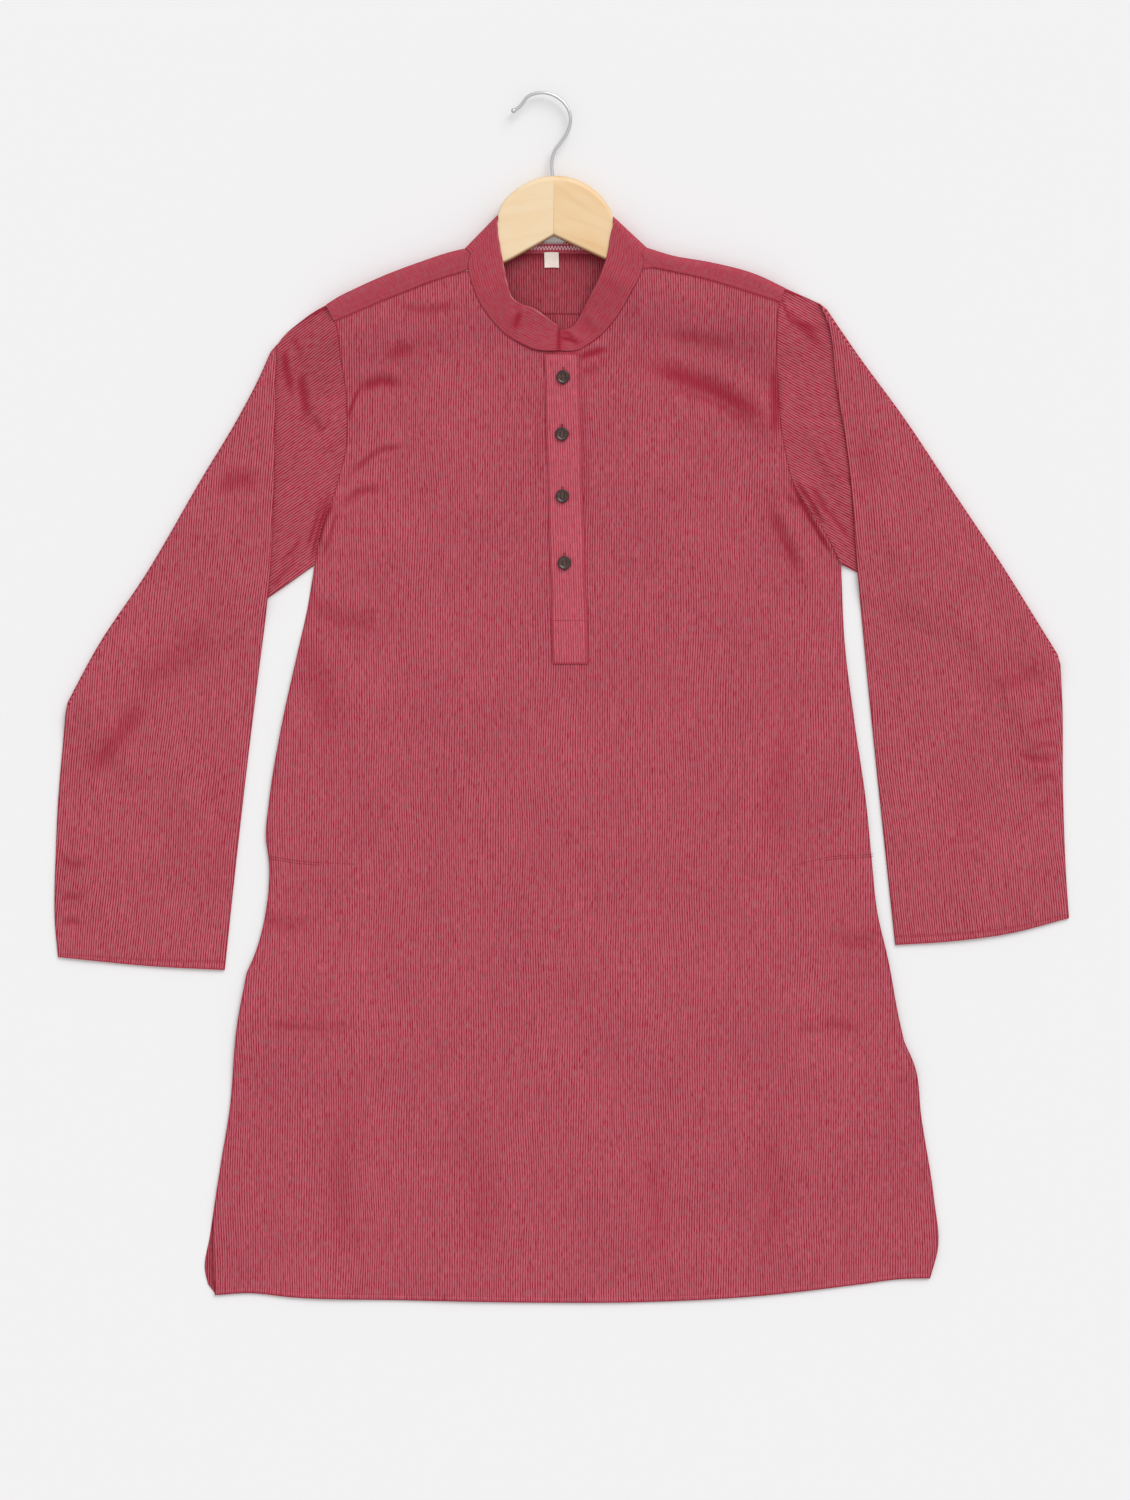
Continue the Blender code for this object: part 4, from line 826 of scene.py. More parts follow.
front = frontPanel()
back = backPanel()
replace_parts(front, "front_panel")
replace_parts(back, "back_panel")
print("front and back panels made")


# Yoke

yokePiece = {"columns": 76, "turn": 15, "neck": 60, "outer": 0.1, "reach": 12.0,
             "back": (0.0, 0.012, 0.026, 0.045, 0.075, 0.13, 0.25, 0.45, 0.65, 0.85)}
# seam between yoke and collar on the front, from the shoulder down
collarSeams = {
    "left": [(-85.6, 420.0), (-88.0, 412.8), (-88.0, 405.2), (-84.6, 390.8)],
    "right": [(76.25, 420.4), (78.5, 413.7), (77.65, 406.1), (72.3, 393.7)],
}
collarInward = {"left": (0.685, -0.728), "right": (-0.680, -0.732)}
sleeveInward = {"left": (0.465, -0.885), "right": (-0.344, -0.939)}


def shoulderColumns(outline, seam, side):
    # up the back, half round the shoulder and down to the front seam, as outer and inner grids
    t = np.linspace(0, 1, yokePiece["columns"])
    edge = through(outline, t)
    along = unit(np.gradient(edge, axis=0))
    inward = grain = np.stack([along[:, 1], -along[:, 0]], -1)
    collarEnd, sleeveEnd = (-1, 0) if side == "left" else (0, -1)
    for end, way in ((collarEnd, collarInward[side]), (sleeveEnd, sleeveInward[side])):
        near = soft(1 - lengths(edge - edge[end]) / yokePiece["reach"])[:, None]
        inward = inward + near * (np.array(way) - inward)
    inward = unit(inward)
    radius = (frontLow + cloth["solid"] + tent(edge + inward * 8.0)) / 2
    turned = edge + inward * radius[:, None]
    ends = np.clip([seam[0][0], seam[-1][0]], backSeam[0][0], backSeam[-1][0])
    belowX = ends[0] + t * (ends[1] - ends[0])
    below = np.stack([belowX, np.interp(belowX, *np.array(backSeam).T)], -1)
    frontEdge = through(seam, t) + np.array([0, cloth["seam"] / 2])
    thick, outset = cloth["thick"], yokePiece["outer"]
    outer, inner, marks, cut = [], [], [], []
    for w in yokePiece["back"]:
        plan = below + w * (turned - below)
        outer.append(raised(plan, outset * w))
        inner.append(raised(plan, outset * w + thick))
        # painted shade along the back seam
        marks.append(np.full(len(plan), 0.9 * bell(w, 0.02)))
        cut.append(plan)
    for turn in np.linspace(-math.pi / 2, math.pi / 2, yokePiece["turn"]):
        for made, r in ((outer, radius - outset), (inner, radius - outset - thick)):
            plan = edge + inward * (radius - r * math.cos(turn))[:, None]
            made.append(raised(plan, radius + r * math.sin(turn)))
        # painted shade along the shoulder's outer edge
        marks.append(np.full(len(edge), 0.8 * bell(turn, 0.35)))
        cut.append(turned - grain * (radius * (turn + math.pi / 2))[:, None])
    atCollar = soft(1 - lengths(edge - edge[collarEnd]) / yokePiece["reach"])[:, None]
    down = chordOf(collarSeams[side])
    for w in spaced(25.0, 2.2, fineEnd=True)[1:]:
        plan = turned + w * (frontEdge - turned)
        target = through(collarSeams[side], w * down[2] / down[3])
        plan = plan + atCollar * (target - plan[collarEnd])
        fine, _ = creases(plan, underCreases)
        lift = frontLow + tent(plan) + cloth["solid"] - outset + fine * soft(w / 0.4) * 0.5
        beside = (1 - w) * lengths(frontEdge - turned)
        fold = 0.3 * soft((3.2 - beside) / 1.2) - 0.3 * bell(beside - 3.4, 0.5)
        outer.append(raised(plan, lift + fold))
        inner.append(raised(plan, lift - thick))
        # painted shade at the front seam
        marks.append(0.5 * bell(beside, 1.0))
        cut.append(turned - grain * (radius * math.pi + lengths(plan - turned))[:, None])
    return [np.stack(grid) for grid in (outer, inner, marks, cut)]


def yokeCloth():
    # both shoulders and the plain strip between them; past the collar's seam only they go on
    left = shoulderColumns(shoulderLeft, yokeSeamLeft, "left")
    right = shoulderColumns(shoulderRight, yokeSeamRight, "right")
    rows, backRows = len(left[0]), len(yokePiece["back"]) + 1
    place = np.linspace(0, 1, yokePiece["neck"])[1:-1]
    start, end = left[0][backRows - 1, -1, :2], right[0][backRows - 1, 0, :2]
    seam = [tuple(start)] + [(row[0], row[1] - cloth["seam"]) for row in collarBack] + [tuple(end)]
    upper = through(seam, place)
    lower = np.stack([upper[:, 0], np.interp(upper[:, 0], *np.array(backSeam).T)], -1)
    w = np.array([*yokePiece["back"], *[1.0] * (rows - backRows + 1)])[:, None]
    plan = lower + w[..., None] * (upper - lower)
    fold = 0.35 * bell(plan[..., 1] - lower[:, 1] - 3.0, 3.0)
    # painted shade along both seams of the strip
    marks = np.broadcast_to(0.9 * bell(w, 0.02) + 0.8 * bell(1 - w, 0.03), fold.shape)
    between = (raised(plan, 0.03), raised(plan, 0.03 + cloth["thick"] + fold), marks, plan)
    outer, inner, marks, cut = (np.concatenate(parts, axis=1) for parts in zip(left, between, right))
    keep = np.ones((rows - 1, outer.shape[1] - 1), bool)
    keep[backRows - 1:, yokePiece["columns"] - 1:yokePiece["columns"] + len(place)] = False
    # stripes run down the back, and over the shoulder as the cut goes on past it
    cut = cut + np.stack([waves(cut, 0.5, 4), np.zeros(cut.shape[:2])], -1)
    # the yoke's inner face takes the back's darker cloth, painted shade inside the neck
    return clothShell("yokeCloth", outer, inner, cut, looks["yoke"], marks, keep=keep,
                      shadedInside=looks["back"])


yoke = yokeCloth()
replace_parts(yoke, "yoke")
print("yoke made")


# Collar

collarPiece = {"solid": 1.8, "thick": 1.5, "wide": 33.0, "inset": 0.15, "overlap": 2.1, "turns": 17,
               "rows": {"left": 70, "back": 50, "right": 90}, "stitches": 2.2}
# soft folds across the band, with the columns of the creases above
collarCreases = [
    ([(-44, 368), (-47, 360), (-50, 352)], 3.4, 0.9, -0.9, 0.9),
    ([(-34, 372), (-38, 358), (-43, 342)], 4.0, 0.7, 0.3, 0.1),
    ([(-70, 392), (-76, 380)], 6.0, 0.5, 0.5, 0.2),
    ([(-1, 345), (10, 343), (19, 339)], 2.2, 0.6, 0.9, 0.95),
    ([(0, 350), (6, 349), (14, 344)], 2.0, 0.4, 0.9, 0.7),
    ([(24, 366), (34, 356), (40, 352)], 5.0, 0.5, 0.5, 0.25),
    ([(48, 402), (60, 392), (66, 386)], 7.0, 0.5, 0.4, 0.15),
]


def collarBand():
    # strips across the band, carried from the left end up the front, half round the shoulder fold,
    # along the back and down to the right end
    topRadius = (frontLow + tentHeight + collarPiece["solid"]) / 2
    wide, inset = collarPiece["wide"], collarPiece["inset"]
    across = spaced(wide, 2.2, True, True)
    edgeFar = np.minimum(across, 1 - across) * wide
    body = collarPiece["thick"] * rounded(edgeFar, 0.9, 0.12)
    groove = (0.28 * bell(edgeFar - collarPiece["stitches"], 0.5))[None, :]

    def topOf(row, sense):
        # square to the fold at the seam, down the body at the neck edge
        seam, edge = np.array(row[:2]), np.array(row[2:])
        run = unit(edge - seam)
        square = sense * np.array([run[1], -run[0]])
        inward = square + soft(across)[:, None] * (np.array([-0.04 * sense, -1.0]) - square)
        return inward, (*(seam + inward[0] * topRadius), *(edge + inward[-1] * topRadius))

    def flatRun(table, count, onFront=True, overlap=0.0):
        # straight across from seam to edge; on the front it follows the tent and has its creases
        rows = through(table, np.linspace(0, 1, count))
        seam, edge = rows[:, None, :2], rows[:, None, 2:]
        plan = seam + across[None, :, None] * (edge - seam)
        if not onFront:
            return raised(plan, 0.1), raised(plan, 0.1 + body), np.zeros(plan.shape[:2])
        fine, depth = creases(plan, collarCreases)
        lift = frontLow + tent(plan) + inset + overlap + fine * soft(edgeFar / 3.0 + 0.35)
        worn = 0.75 * bell((1 - across) * wide, 0.9) * (0.6 + 0.4 * np.sin(plan[..., 1] / 2.3))
        return raised(plan, lift + body - groove), raised(plan, lift), depth - worn

    def turnRun(row, inward, order):
        # half circles round the shoulder fold, thinner by the body inside
        seam, edge = np.array(row[:2]), np.array(row[2:])
        outer, inner = [], []
        for turn in order:
            for made, r in ((outer, topRadius - np.full_like(body, inset)),
                            (inner, topRadius - inset - body)):
                plan = (seam + inward * (topRadius - r * math.cos(turn))[:, None]
                        + across[:, None] * (edge - seam))
                made.append(raised(plan, topRadius + r * math.sin(turn)))
        # painted shade round the shoulder fold
        dark = np.broadcast_to(0.7 * bell(order, 0.35)[:, None], (len(order), len(across)))
        return np.stack(outer), np.stack(inner), dark

    turns = np.linspace(math.pi / 2, -math.pi / 2, collarPiece["turns"])
    count = collarPiece["rows"]
    inLeft, topLeft = topOf(collarFoldLeft, 1.0)
    inRight, topRight = topOf(collarFoldRight, -1.0)
    leftTable = collarLeft + [topLeft]
    chord = chordOf(leftTable)
    station = np.interp(np.linspace(0, 1, count["left"]) * chord[-1], chord, np.arange(len(chord)))
    overlap = collarPiece["overlap"] * (1 - soft((station - 1) / 3.0))[:, None]
    frontL = flatRun(leftTable, count["left"], overlap=overlap)
    # painted shade on the left end's rim
    frontL[2][0] = 0.9
    turnL = turnRun(collarFoldLeft, inLeft, turns)
    flatB = flatRun([topLeft] + collarBack + [topRight], count["back"], onFront=False)
    turnR = turnRun(collarFoldRight, inRight, turns[::-1])
    frontR = flatRun([topRight] + collarRight, count["right"])
    # painted shadow on the right end beside the overlapping left end
    frontR[2][:] = np.maximum(frontR[2], 0.95 * bell(frontR[0][..., 0] + 1.6, 1.6))
    runs = [frontL, [p[1:] for p in turnL], [p[1:-1] for p in flatB], turnR, [p[1:] for p in frontR]]
    outer, inner, depth = (np.concatenate([run[k] for run in runs]) for k in range(3))
    middle = outer[:, outer.shape[1] // 2]
    stripe = np.stack(np.broadcast_arrays(across[None, :] * wide, chordOf(middle)[:, None]), -1)
    stripe = stripe + np.stack([waves(outer[..., :2], 0.4, 6), np.zeros(depth.shape)], -1)
    piece = clothShell("collarBand", outer, inner, stripe, looks["collar"], depth)
    # stitching inside both long edges on the front strips, and across the left end
    columns = [int(np.argmin(abs(far * wide - collarPiece["stitches"]))) for far in (across, 1 - across)]
    paths = [grid[:, k] + np.array([0, 0, 0.12]) for grid in (frontL[0], frontR[0]) for k in columns]
    paths.append(frontL[0][0, 3:-3] * 0.9 + frontL[0][2, 3:-3] * 0.1 + np.array([0, 0, 0.1]))
    return piece, paths


collar, collarPaths = collarBand()
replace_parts(collar, "collar")
collarStitches = stitchRows("collarStitches", collarPaths, looks["thread"], pitch=2.4,
                            wide=0.42, high=0.3)
print("collar made")


# Sleeves: flat tubes folded over themselves along a slanting crease

sleevePiece = {"line": 56, "rim": 7, "under": 62, "turn": 9, "long": 300.0, "fade": 45.0, "drop": 26.0,
               "taper": 10.0, "outer": 0.15, "hemWide": 4.0, "rimShade": 0.9}
sleeveLeftShape = {
    "shoulder": [(-223.3, 372.3), (-232.8, 367.2), (-248.9, 355.8), (-262.2, 344.4), (-269.8, 334.9)],
    "under": [(-234.5, 125.2), (-278.3, 94.5), (-370.0, 42.5), (-470.2, -13.8)],
    "crease": [(-269.8, 334.9), (-285.9, 298.8), (-304.0, 264.6), (-338.2, 207.6), (-391.4, 116.4),
               (-437.0, 48.0), (-470.2, -13.8)],
    "inner": [(-269.8, 334.9), (-278.3, 93.6), (-286.9, 25.2), (-295.4, -43.2), (-309.7, -168.6),
              (-319.2, -258.9)],
    "outer": [(-470.2, -13.8), (-474.0, -54.6), (-477.8, -100.2), (-479.8, -145.8), (-480.7, -214.2),
              (-477.8, -246.5)],
    "cuff": [(-319.2, -258.9), (-390.4, -255.1), (-459.8, -248.4), (-477.8, -246.5)],
    "armhole": armholeLeft, "out": -1.0, "stripe": math.radians(215.0),
}
sleeveRightShape = {
    "shoulder": [(212.9, 388.4), (235.6, 378.6), (245.1, 374.3)],
    "under": [(266.3, 126.2), (350.6, 84.0), (412.0, 57.5), (474.0, 31.8)],
    "crease": [(245.1, 374.3), (281.2, 321.6), (323.0, 264.6), (368.6, 196.2), (414.2, 127.8),
               (456.9, 59.4), (474.0, 31.8)],
    "inner": [(245.1, 374.3), (252.7, 356.7), (261.2, 296.9), (270.8, 238.9), (281.2, 121.1),
              (293.6, -9.0), (307.8, -145.8), (317.3, -235.1)],
    "outer": [(474.0, 31.8), (475.9, 2.4), (476.9, -88.8), (479.8, -168.6), (482.6, -209.5)],
    "cuff": [(317.3, -235.1), (369.5, -232.3), (424.6, -225.6), (482.6, -211.4)],
    "armhole": armholeRight, "out": 1.0, "stripe": math.radians(-28.6),
}


def sleeveTube(name, shape):
    # rings of a flat tube run from the upper edge to the underarm. They go to the crease, half round
    # a line above it, and on to the cuff upside down
    out, hemWide = shape["out"], sleevePiece["hemWide"]
    armhole = shifted(shape["armhole"], 0.4 * cloth["seam"] * out).tolist()
    armhole[0], armhole[-1] = shape["shoulder"][0], shape["under"][0]
    under = patch(armhole, shape["crease"], shape["shoulder"], shape["under"])
    over = patch(shape["crease"], shape["cuff"], shape["inner"], shape["outer"])
    tip, heel, below = (np.array(p) for p in (shape["crease"][0], shape["crease"][-1], shape["under"][1]))
    creaseRun, belowRun = unit(heel - tip), unit(heel - below)
    outward = np.array([-creaseRun[1], creaseRun[0]]) * out
    downward = np.array([belowRun[1], -belowRun[0]]) * out
    whole = 2 * cloth["solid"] + cloth["layer"]
    axis = whole + cloth["layer"] / 2
    count, rimCount = sleevePiece["line"], sleevePiece["rim"]
    line = np.linspace(0, 1, count)
    rim = np.radians(np.linspace(75, -75, rimCount))
    facing = slice(count + rimCount, 2 * count + rimCount)
    rims = np.ones(2 * (count + rimCount), bool)
    rims[:count] = rims[facing] = False

    def window(steep):
        # 1 on the side that faces up past the crease, 0 at its rims and beneath
        made = np.zeros(len(rims))
        made[facing] = soft(steep * line * (1 - line))
        return made

    def lifted(plan):
        # what the sleeve lies on, and how that and its marks fade towards the crease
        inside = -((plan - tip) @ outward)
        return (tent(plan) + ridges(plan, frontRidges + underRidges),
                soft(inside / sleevePiece["fade"]), soft(inside / 12.0))

    def carried(plan):
        lift, fade, markFade = lifted(plan)
        fine, depth = creases(plan, underCreases)
        fine = np.maximum(fine + waves(plan, 0.25, 12), -0.35)
        return (lift + fine) * fade, depth * markFade

    def level(plan):
        return np.zeros(plan.shape[:-1]), np.zeros(plan.shape[:-1])

    def loop(at, v, lift, wall):
        # one ring of the flat tube: plan, heights and painted crease shade, taken in by the wall
        ends = at(np.array([0.0, 1.0]), v)
        width = lengths(ends[1] - ends[0])
        radius = (whole + lift(at(np.array([0.02, 0.98]), v))[0]) / 2
        first, last = radius[0] / width, 1 - radius[1] / width
        reach = (radius - wall) / width
        flat = first + line * (last - first)
        plan = at(np.concatenate([flat, last + reach[1] * np.cos(rim),
                                  flat[::-1], first - reach[0] * np.cos(rim[::-1])]), v)
        top, depth = lift(plan[:count])
        z = np.concatenate([whole - wall + top, radius[1] + (radius[1] - wall) * np.sin(rim),
                            np.full(count, wall), radius[0] + (radius[0] - wall) * np.sin(rim[::-1])])
        # painted shade: the rims dark, the upper face darkened in its crease hollows and a little everywhere
        marks = np.where(rims, sleevePiece["rimShade"], 0.0)
        marks[:count] = np.maximum(depth, 0.12)
        return plan, z, marks

    def layer(wall, hemRelief):
        # one face of the cloth, with each point's place on the cut and its painted shade
        grid, places, depths = [], [], []
        for v in np.linspace(0, 1, sleevePiece["under"]):
            plan, z, marks = loop(under, v, carried if v < 1 else level, wall)
            grid.append(raised(plan, z))
            places.append(plan)
            depths.append(marks)
        plan, z, _ = loop(under, 1.0, level, wall)
        taper = (soft((plan - tip) @ creaseRun / sleevePiece["taper"] + 0.1)
                 * soft((heel - plan) @ creaseRun / sleevePiece["taper"] + 0.1))
        for turn in np.radians(np.linspace(-72, 72, sleevePiece["turn"])):
            swing = ((axis - z) * math.cos(turn) * taper)[:, None]
            grid.append(raised(plan + outward * swing, axis + (axis - z) * math.sin(turn)))
            places.append(plan)
            # painted shade round the fold
            depths.append(np.full(len(z), bell(turn, 0.8)))
        for v, far in zip(alongOver, hemFar):
            plan, z, _ = loop(over, v, level, wall)
            lift, fade, _ = lifted(plan)
            drop = (whole + cloth["layer"]) * soft(((plan - below) @ downward - 2.0) / sleevePiece["drop"])
            fine, depth = creases(plan, sleeveCreases)
            fine = fine + waves(plan, 0.3, 21 if out < 0 else 22)
            start = soft(v / 0.12)
            own = ridges(plan, sleeveRidges) * wideWindow * start
            own = own + np.maximum(fine, -0.35) * edgeWindow * start
            own = own + hemRelief * edgeWindow * (0.35 * soft((hemWide + 0.6 - far) / 0.8)
                                                  - 0.3 * bell(far - hemWide, 0.6))
            grid.append(raised(plan, 2 * axis - z + lift * fade + own - drop))
            places.append(plan - 2 * ((plan - tip) @ outward)[:, None] * outward)
            # painted shade in the hem's stitch groove and along the cuff's edge
            hemShade = 0.5 * bell(far - hemWide, 0.6) + 0.5 * bell(far, 0.9)
            marks = np.maximum(depth * edgeWindow * start, hemShade)
            depths.append(np.where(rims, sleevePiece["rimShade"], marks))
        return np.stack(grid), np.stack(places), np.stack(depths)

    alongOver = spaced(sleevePiece["long"], 3.0, fineEnd=True)
    hemFar = (1 - alongOver) * sleevePiece["long"]
    wideWindow, edgeWindow = window(6), window(14)
    outer, cut, depth = layer(sleevePiece["outer"], 1.0)
    inner, _, _ = layer(sleevePiece["outer"] + cloth["thick"], 0.0)
    run = np.array([math.cos(shape["stripe"]), math.sin(shape["stripe"])])
    stripe = np.stack([cut @ np.array([-run[1], run[0]]), cut @ run], -1)
    stripe[..., 0] += waves(stripe, 0.8, 17)
    piece = clothShell(name, outer, inner, stripe, looks["sleeve"], depth, ring=True)
    hemRow = outer[-int((hemFar <= hemWide - 0.4).sum()) - 1, facing]
    return piece, hemRow[1:-1] + np.array([0, 0, 0.15])


sleeveL, cuffPathL = sleeveTube("sleeveLeftCloth", sleeveLeftShape)
sleeveR, cuffPathR = sleeveTube("sleeveRightCloth", sleeveRightShape)
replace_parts(sleeveL, "sleeve_left")
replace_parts(sleeveR, "sleeve_right")
print("sleeves made")


# Placket

# ends are given as x on the left, x on the right and y
placketPiece = {"top": (-16.5, 17.3, 326.6), "bottom": (-7.8, 26.0, 31.4), "wide": 33.8, "long": 295.0,
                "thick": 1.35, "edge": 2.0, "boxLine": 73.2}


def placketStrip():
    # a pad on the front: its upper face rises over the first millimetre from each edge
    wide, long, edge = placketPiece["wide"], placketPiece["long"], placketPiece["edge"]
    down = spaced(long, 3.4, True, True)[:, None]
    across = spaced(wide, 1.6, True, True)[None, :]
    left, right, y = (a + down * (b - a) for a, b in zip(placketPiece["top"], placketPiece["bottom"]))
    x = left + across * (right - left)
    x = (x + 0.35 * np.sin(down * 19.0) * (1 - soft(4 * across))
         + 0.35 * np.sin(down * 23.0 + 1) * soft(4 * across - 3))
    plan = np.stack(np.broadcast_arrays(x, y), -1)
    low = frontTop(plan) + 0.12
    far = np.minimum(np.minimum(across, 1 - across) * wide, np.minimum(down, 1 - down) * long)
    boxY = placketPiece["boxLine"] + x * 0.03
    groove = np.maximum(0.25 * bell(far - edge, 0.5), 0.3 * bell(y - boxY, 0.7))
    quilt = 0.22 * np.sin(y / 9.0) * np.sin(y / 31.0 + 1.0)
    high = low + placketPiece["thick"] * rounded(far, 1.1, 0.1) - groove + quilt * soft(far / 4.0)
    stripe = np.stack(np.broadcast_arrays((across - 0.5) * wide, y), -1)
    # painted shade along its edges
    piece = clothShell("placketStrip", raised(plan, high), raised(plan, low), stripe, looks["placket"],
                       0.8 * bell(far, 1.2))
    column, row, boxRow = (int(np.argmin(abs(gap))) for gap in (
        across[0] * wide - edge, down[:, 0] * long - edge, y[:, 0] - placketPiece["boxLine"]))
    grid = raised(plan, high + 0.1)
    return piece, [grid[:, column], grid[:, -column - 1], grid[-row - 1, column:-column],
                   grid[boxRow, column:-column]]


placket, placketPaths = placketStrip()
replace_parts(placket, "placket")
placketStitches = stitchRows("placketStitches", placketPaths, looks["darkThread"], pitch=2.3,
                             fill=0.85, wide=0.5, high=0.3)

# Sewing on the front and the cuffs

sewing = {"hem": 3.6, "yoke": 3.0, "secondRow": 2.3}
pocketLines = {
    "left": [(-277.4, -150.6), (-248.0, -155.3), (-219.5, -157.2), (-194.8, -158.2)],
    "right": [(219.0, -159.6), (255.6, -151.5), (296.4, -148.7)],
}


def insidePath(line):
    # a line moved to its left by the hem's distance, on the front's upper face
    flat = shifted(through(line, np.linspace(0, 1, 160)), sewing["hem"])
    return raised(flat, frontTop(flat) + cloth["hemThick"] - 0.1)


hemStitches = stitchRows("hemStitches", [insidePath(hemLine), insidePath(ventLeft)[4:-4],
                                         insidePath(ventRight[::-1])[4:-4]], looks["thread"])
pocketPaths = []
for side, line in pocketLines.items():
    # a second row, below the first, from the side seam part of the way
    flat = through(line, np.linspace(0, 1, 50))
    second = (flat[:30] if side == "left" else flat[-30:]) - np.array([0, sewing["secondRow"]])
    pocketPaths += [raised(row, frontTop(row) + 0.12) for row in (flat, second)]
pocketStitches = stitchRows("pocketStitches", pocketPaths, looks["darkThread"], pitch=2.2,
                            fill=0.86, wide=0.6)
cuffStitchesLeft = stitchRows("cuffStitchesLeft", [cuffPathL], looks["thread"])
cuffStitchesRight = stitchRows("cuffStitchesRight", [cuffPathR], looks["thread"])


def yokePath(seam, outline):
    # a row on the yoke, a little way up from its front seam towards the shoulder
    t = np.linspace(0.01, 0.99, 90)
    edge = through(seam, t)
    flat = edge + unit(through(outline, t) - edge) * sewing["yoke"]
    return raised(flat, frontLow + tent(flat) + cloth["solid"] + 0.3)


yokeStitches = stitchRows("yokeStitches", [yokePath(yokeSeamLeft, shoulderLeft),
                                           yokePath(yokeSeamRight, shoulderRight)],
                          looks["thread"], wide=0.42, high=0.3)
print("sewing made")


# Pocket bags between the panels

def pocketBag(name, corners):
    # straight across from the side seam's curve to the bag's inner edge
    down, across = np.linspace(0, 1, 60), np.linspace(0, 1, 16)[None, :, None]
    outer = through([corners[0], corners[5], corners[4], corners[3]], down)[:, None]
    inner = through([corners[1], corners[2]], down)[:, None]
    plan = outer + across * (inner - outer)
    low = frontLow + 0.1 + waves(plan, 0.05, 2)
    return clothShell(name, raised(plan, low + cloth["thick"]), raised(plan, low), plan, looks["bag"])


bagL, bagR = pocketBag("pocketBagLeft", bagLeft), pocketBag("pocketBagRight", bagRight)
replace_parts(bagL, "pocket_left")
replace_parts(bagR, "pocket_right")

# Label and the stitched band inside the back neck

labelPiece = {"top": (-9.1, 422.6), "wide": 13.6, "long": 14.5, "thick": 0.5, "low": 1.55}
neckSewing = {"x": (-34.0, 24.0, 1.5), "low": 424.6, "high": 429.2, "row": (-20.0, 7.0, 430.9), "z": 1.85}


def neckLabel():
    # a small tape from the collar's seam down onto the yoke, its lower corners a little lifted
    across = np.linspace(0, 1, 25)[None, :]
    down = np.linspace(0, 1, 29)[:, None]
    x = labelPiece["top"][0] + labelPiece["wide"] * (across - 0.5) + 0.4 * down
    y = labelPiece["top"][1] - labelPiece["long"] * down + 0.25 * np.sin(across * 3.1)
    step = 0.6 * (1 - soft((down - 0.15) / 0.4))
    curl = 0.5 * soft((down - 0.6) / 0.4) * (2 * across - 1) ** 2
    plan, low = np.stack([x, y], -1), labelPiece["low"] + step + curl
    return clothShell("neckLabel", raised(plan, low + labelPiece["thick"]), raised(plan, low), plan,
                      looks["label"])


label = neckLabel()
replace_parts(label, "label")
zigX = np.arange(*neckSewing["x"])
zigY = np.where(np.arange(len(zigX)) % 2 == 0, neckSewing["low"], neckSewing["high"])
zigzagPath = raised(np.stack([zigX, zigY], -1), neckSewing["z"])
zigzag = threads("neckZigzag", zigzagPath[:-1], zigzagPath[1:], looks["paleThread"], 0.8, 0.4)
rowStart, rowEnd, rowY = neckSewing["row"]
neckRow = raised(np.stack([np.linspace(rowStart, rowEnd, 30), np.full(30, rowY)], -1), neckSewing["z"])
neckStitches = stitchRows("neckStitches", [neckRow], looks["paleThread"], pitch=2.2,
                          fill=0.9, wide=0.7)
print("label and neck sewing made")


# Buttons, buttonholes

# profile: shares of the radius and thickness, from the underside round the rim into the dish
buttonPiece = {"wide": 12.8, "thick": 2.2, "base": 4.7, "hole": 0.78, "out": 1.5, "sides": 96,
               "profile": [(0.78, 0.0), (0.93, 0.16), (1.0, 0.45), (0.985, 0.72), (0.93, 0.93), (0.87, 1.0),
                           (0.80, 0.97), (0.70, 0.84), (0.60, 0.71), (0.50, 0.67)]}
holePiece = {"long": 16.0, "half": 1.25, "slit": 0.25, "pitch": 0.55, "up": 1.2}
buttonTable = [(2.0, 304.1), (0.9, 250.0), (1.3, 191.1), (3.3, 127.7)]


def hornGroup():
    # brown horn: drawn-out light streaks in a dark ground, clouded
    tree, given, out = nodeGroup("horn", {"Place": None, "Dark": anyColour, "Light": anyColour, "Rim": 0.0},
                                 ("Color", "Height", "Roughness"))
    streak = noise(tree, given["Place"], (190, 900, 400), turn=0.5, detail=3.0)
    cloud = calc(tree, "MULTIPLY_ADD", noise(tree, given["Place"], (240, 240, 240)), 0.9, -0.75)
    tone = calc(tree, "MULTIPLY_ADD", streak, 1.3, cloud, clamp=True)
    colour = blended(tree, tone, given["Dark"], given["Light"])
    # the Rim mark darkens the horn towards the rim, and as painted shade in the pits
    colour = blended(tree, calc(tree, "MULTIPLY", given["Rim"], 0.75), colour, given["Dark"])
    tree.links.new(colour, out["Color"])
    tree.links.new(tone, out["Height"])
    tree.links.new(calc(tree, "MULTIPLY_ADD", tone, 0.12, 0.24), out["Roughness"])
    return tree


looks["button"] = material("buttonHorn", hornGroup(),
                           {"Dark": paint(36, 22, 22), "Light": paint(104, 72, 60)}, "Object",
                           bump=0.04, attribute=("crease", "Rim"),
                           fixed={"Coat Weight": 0.12, "Coat Roughness": 0.2})


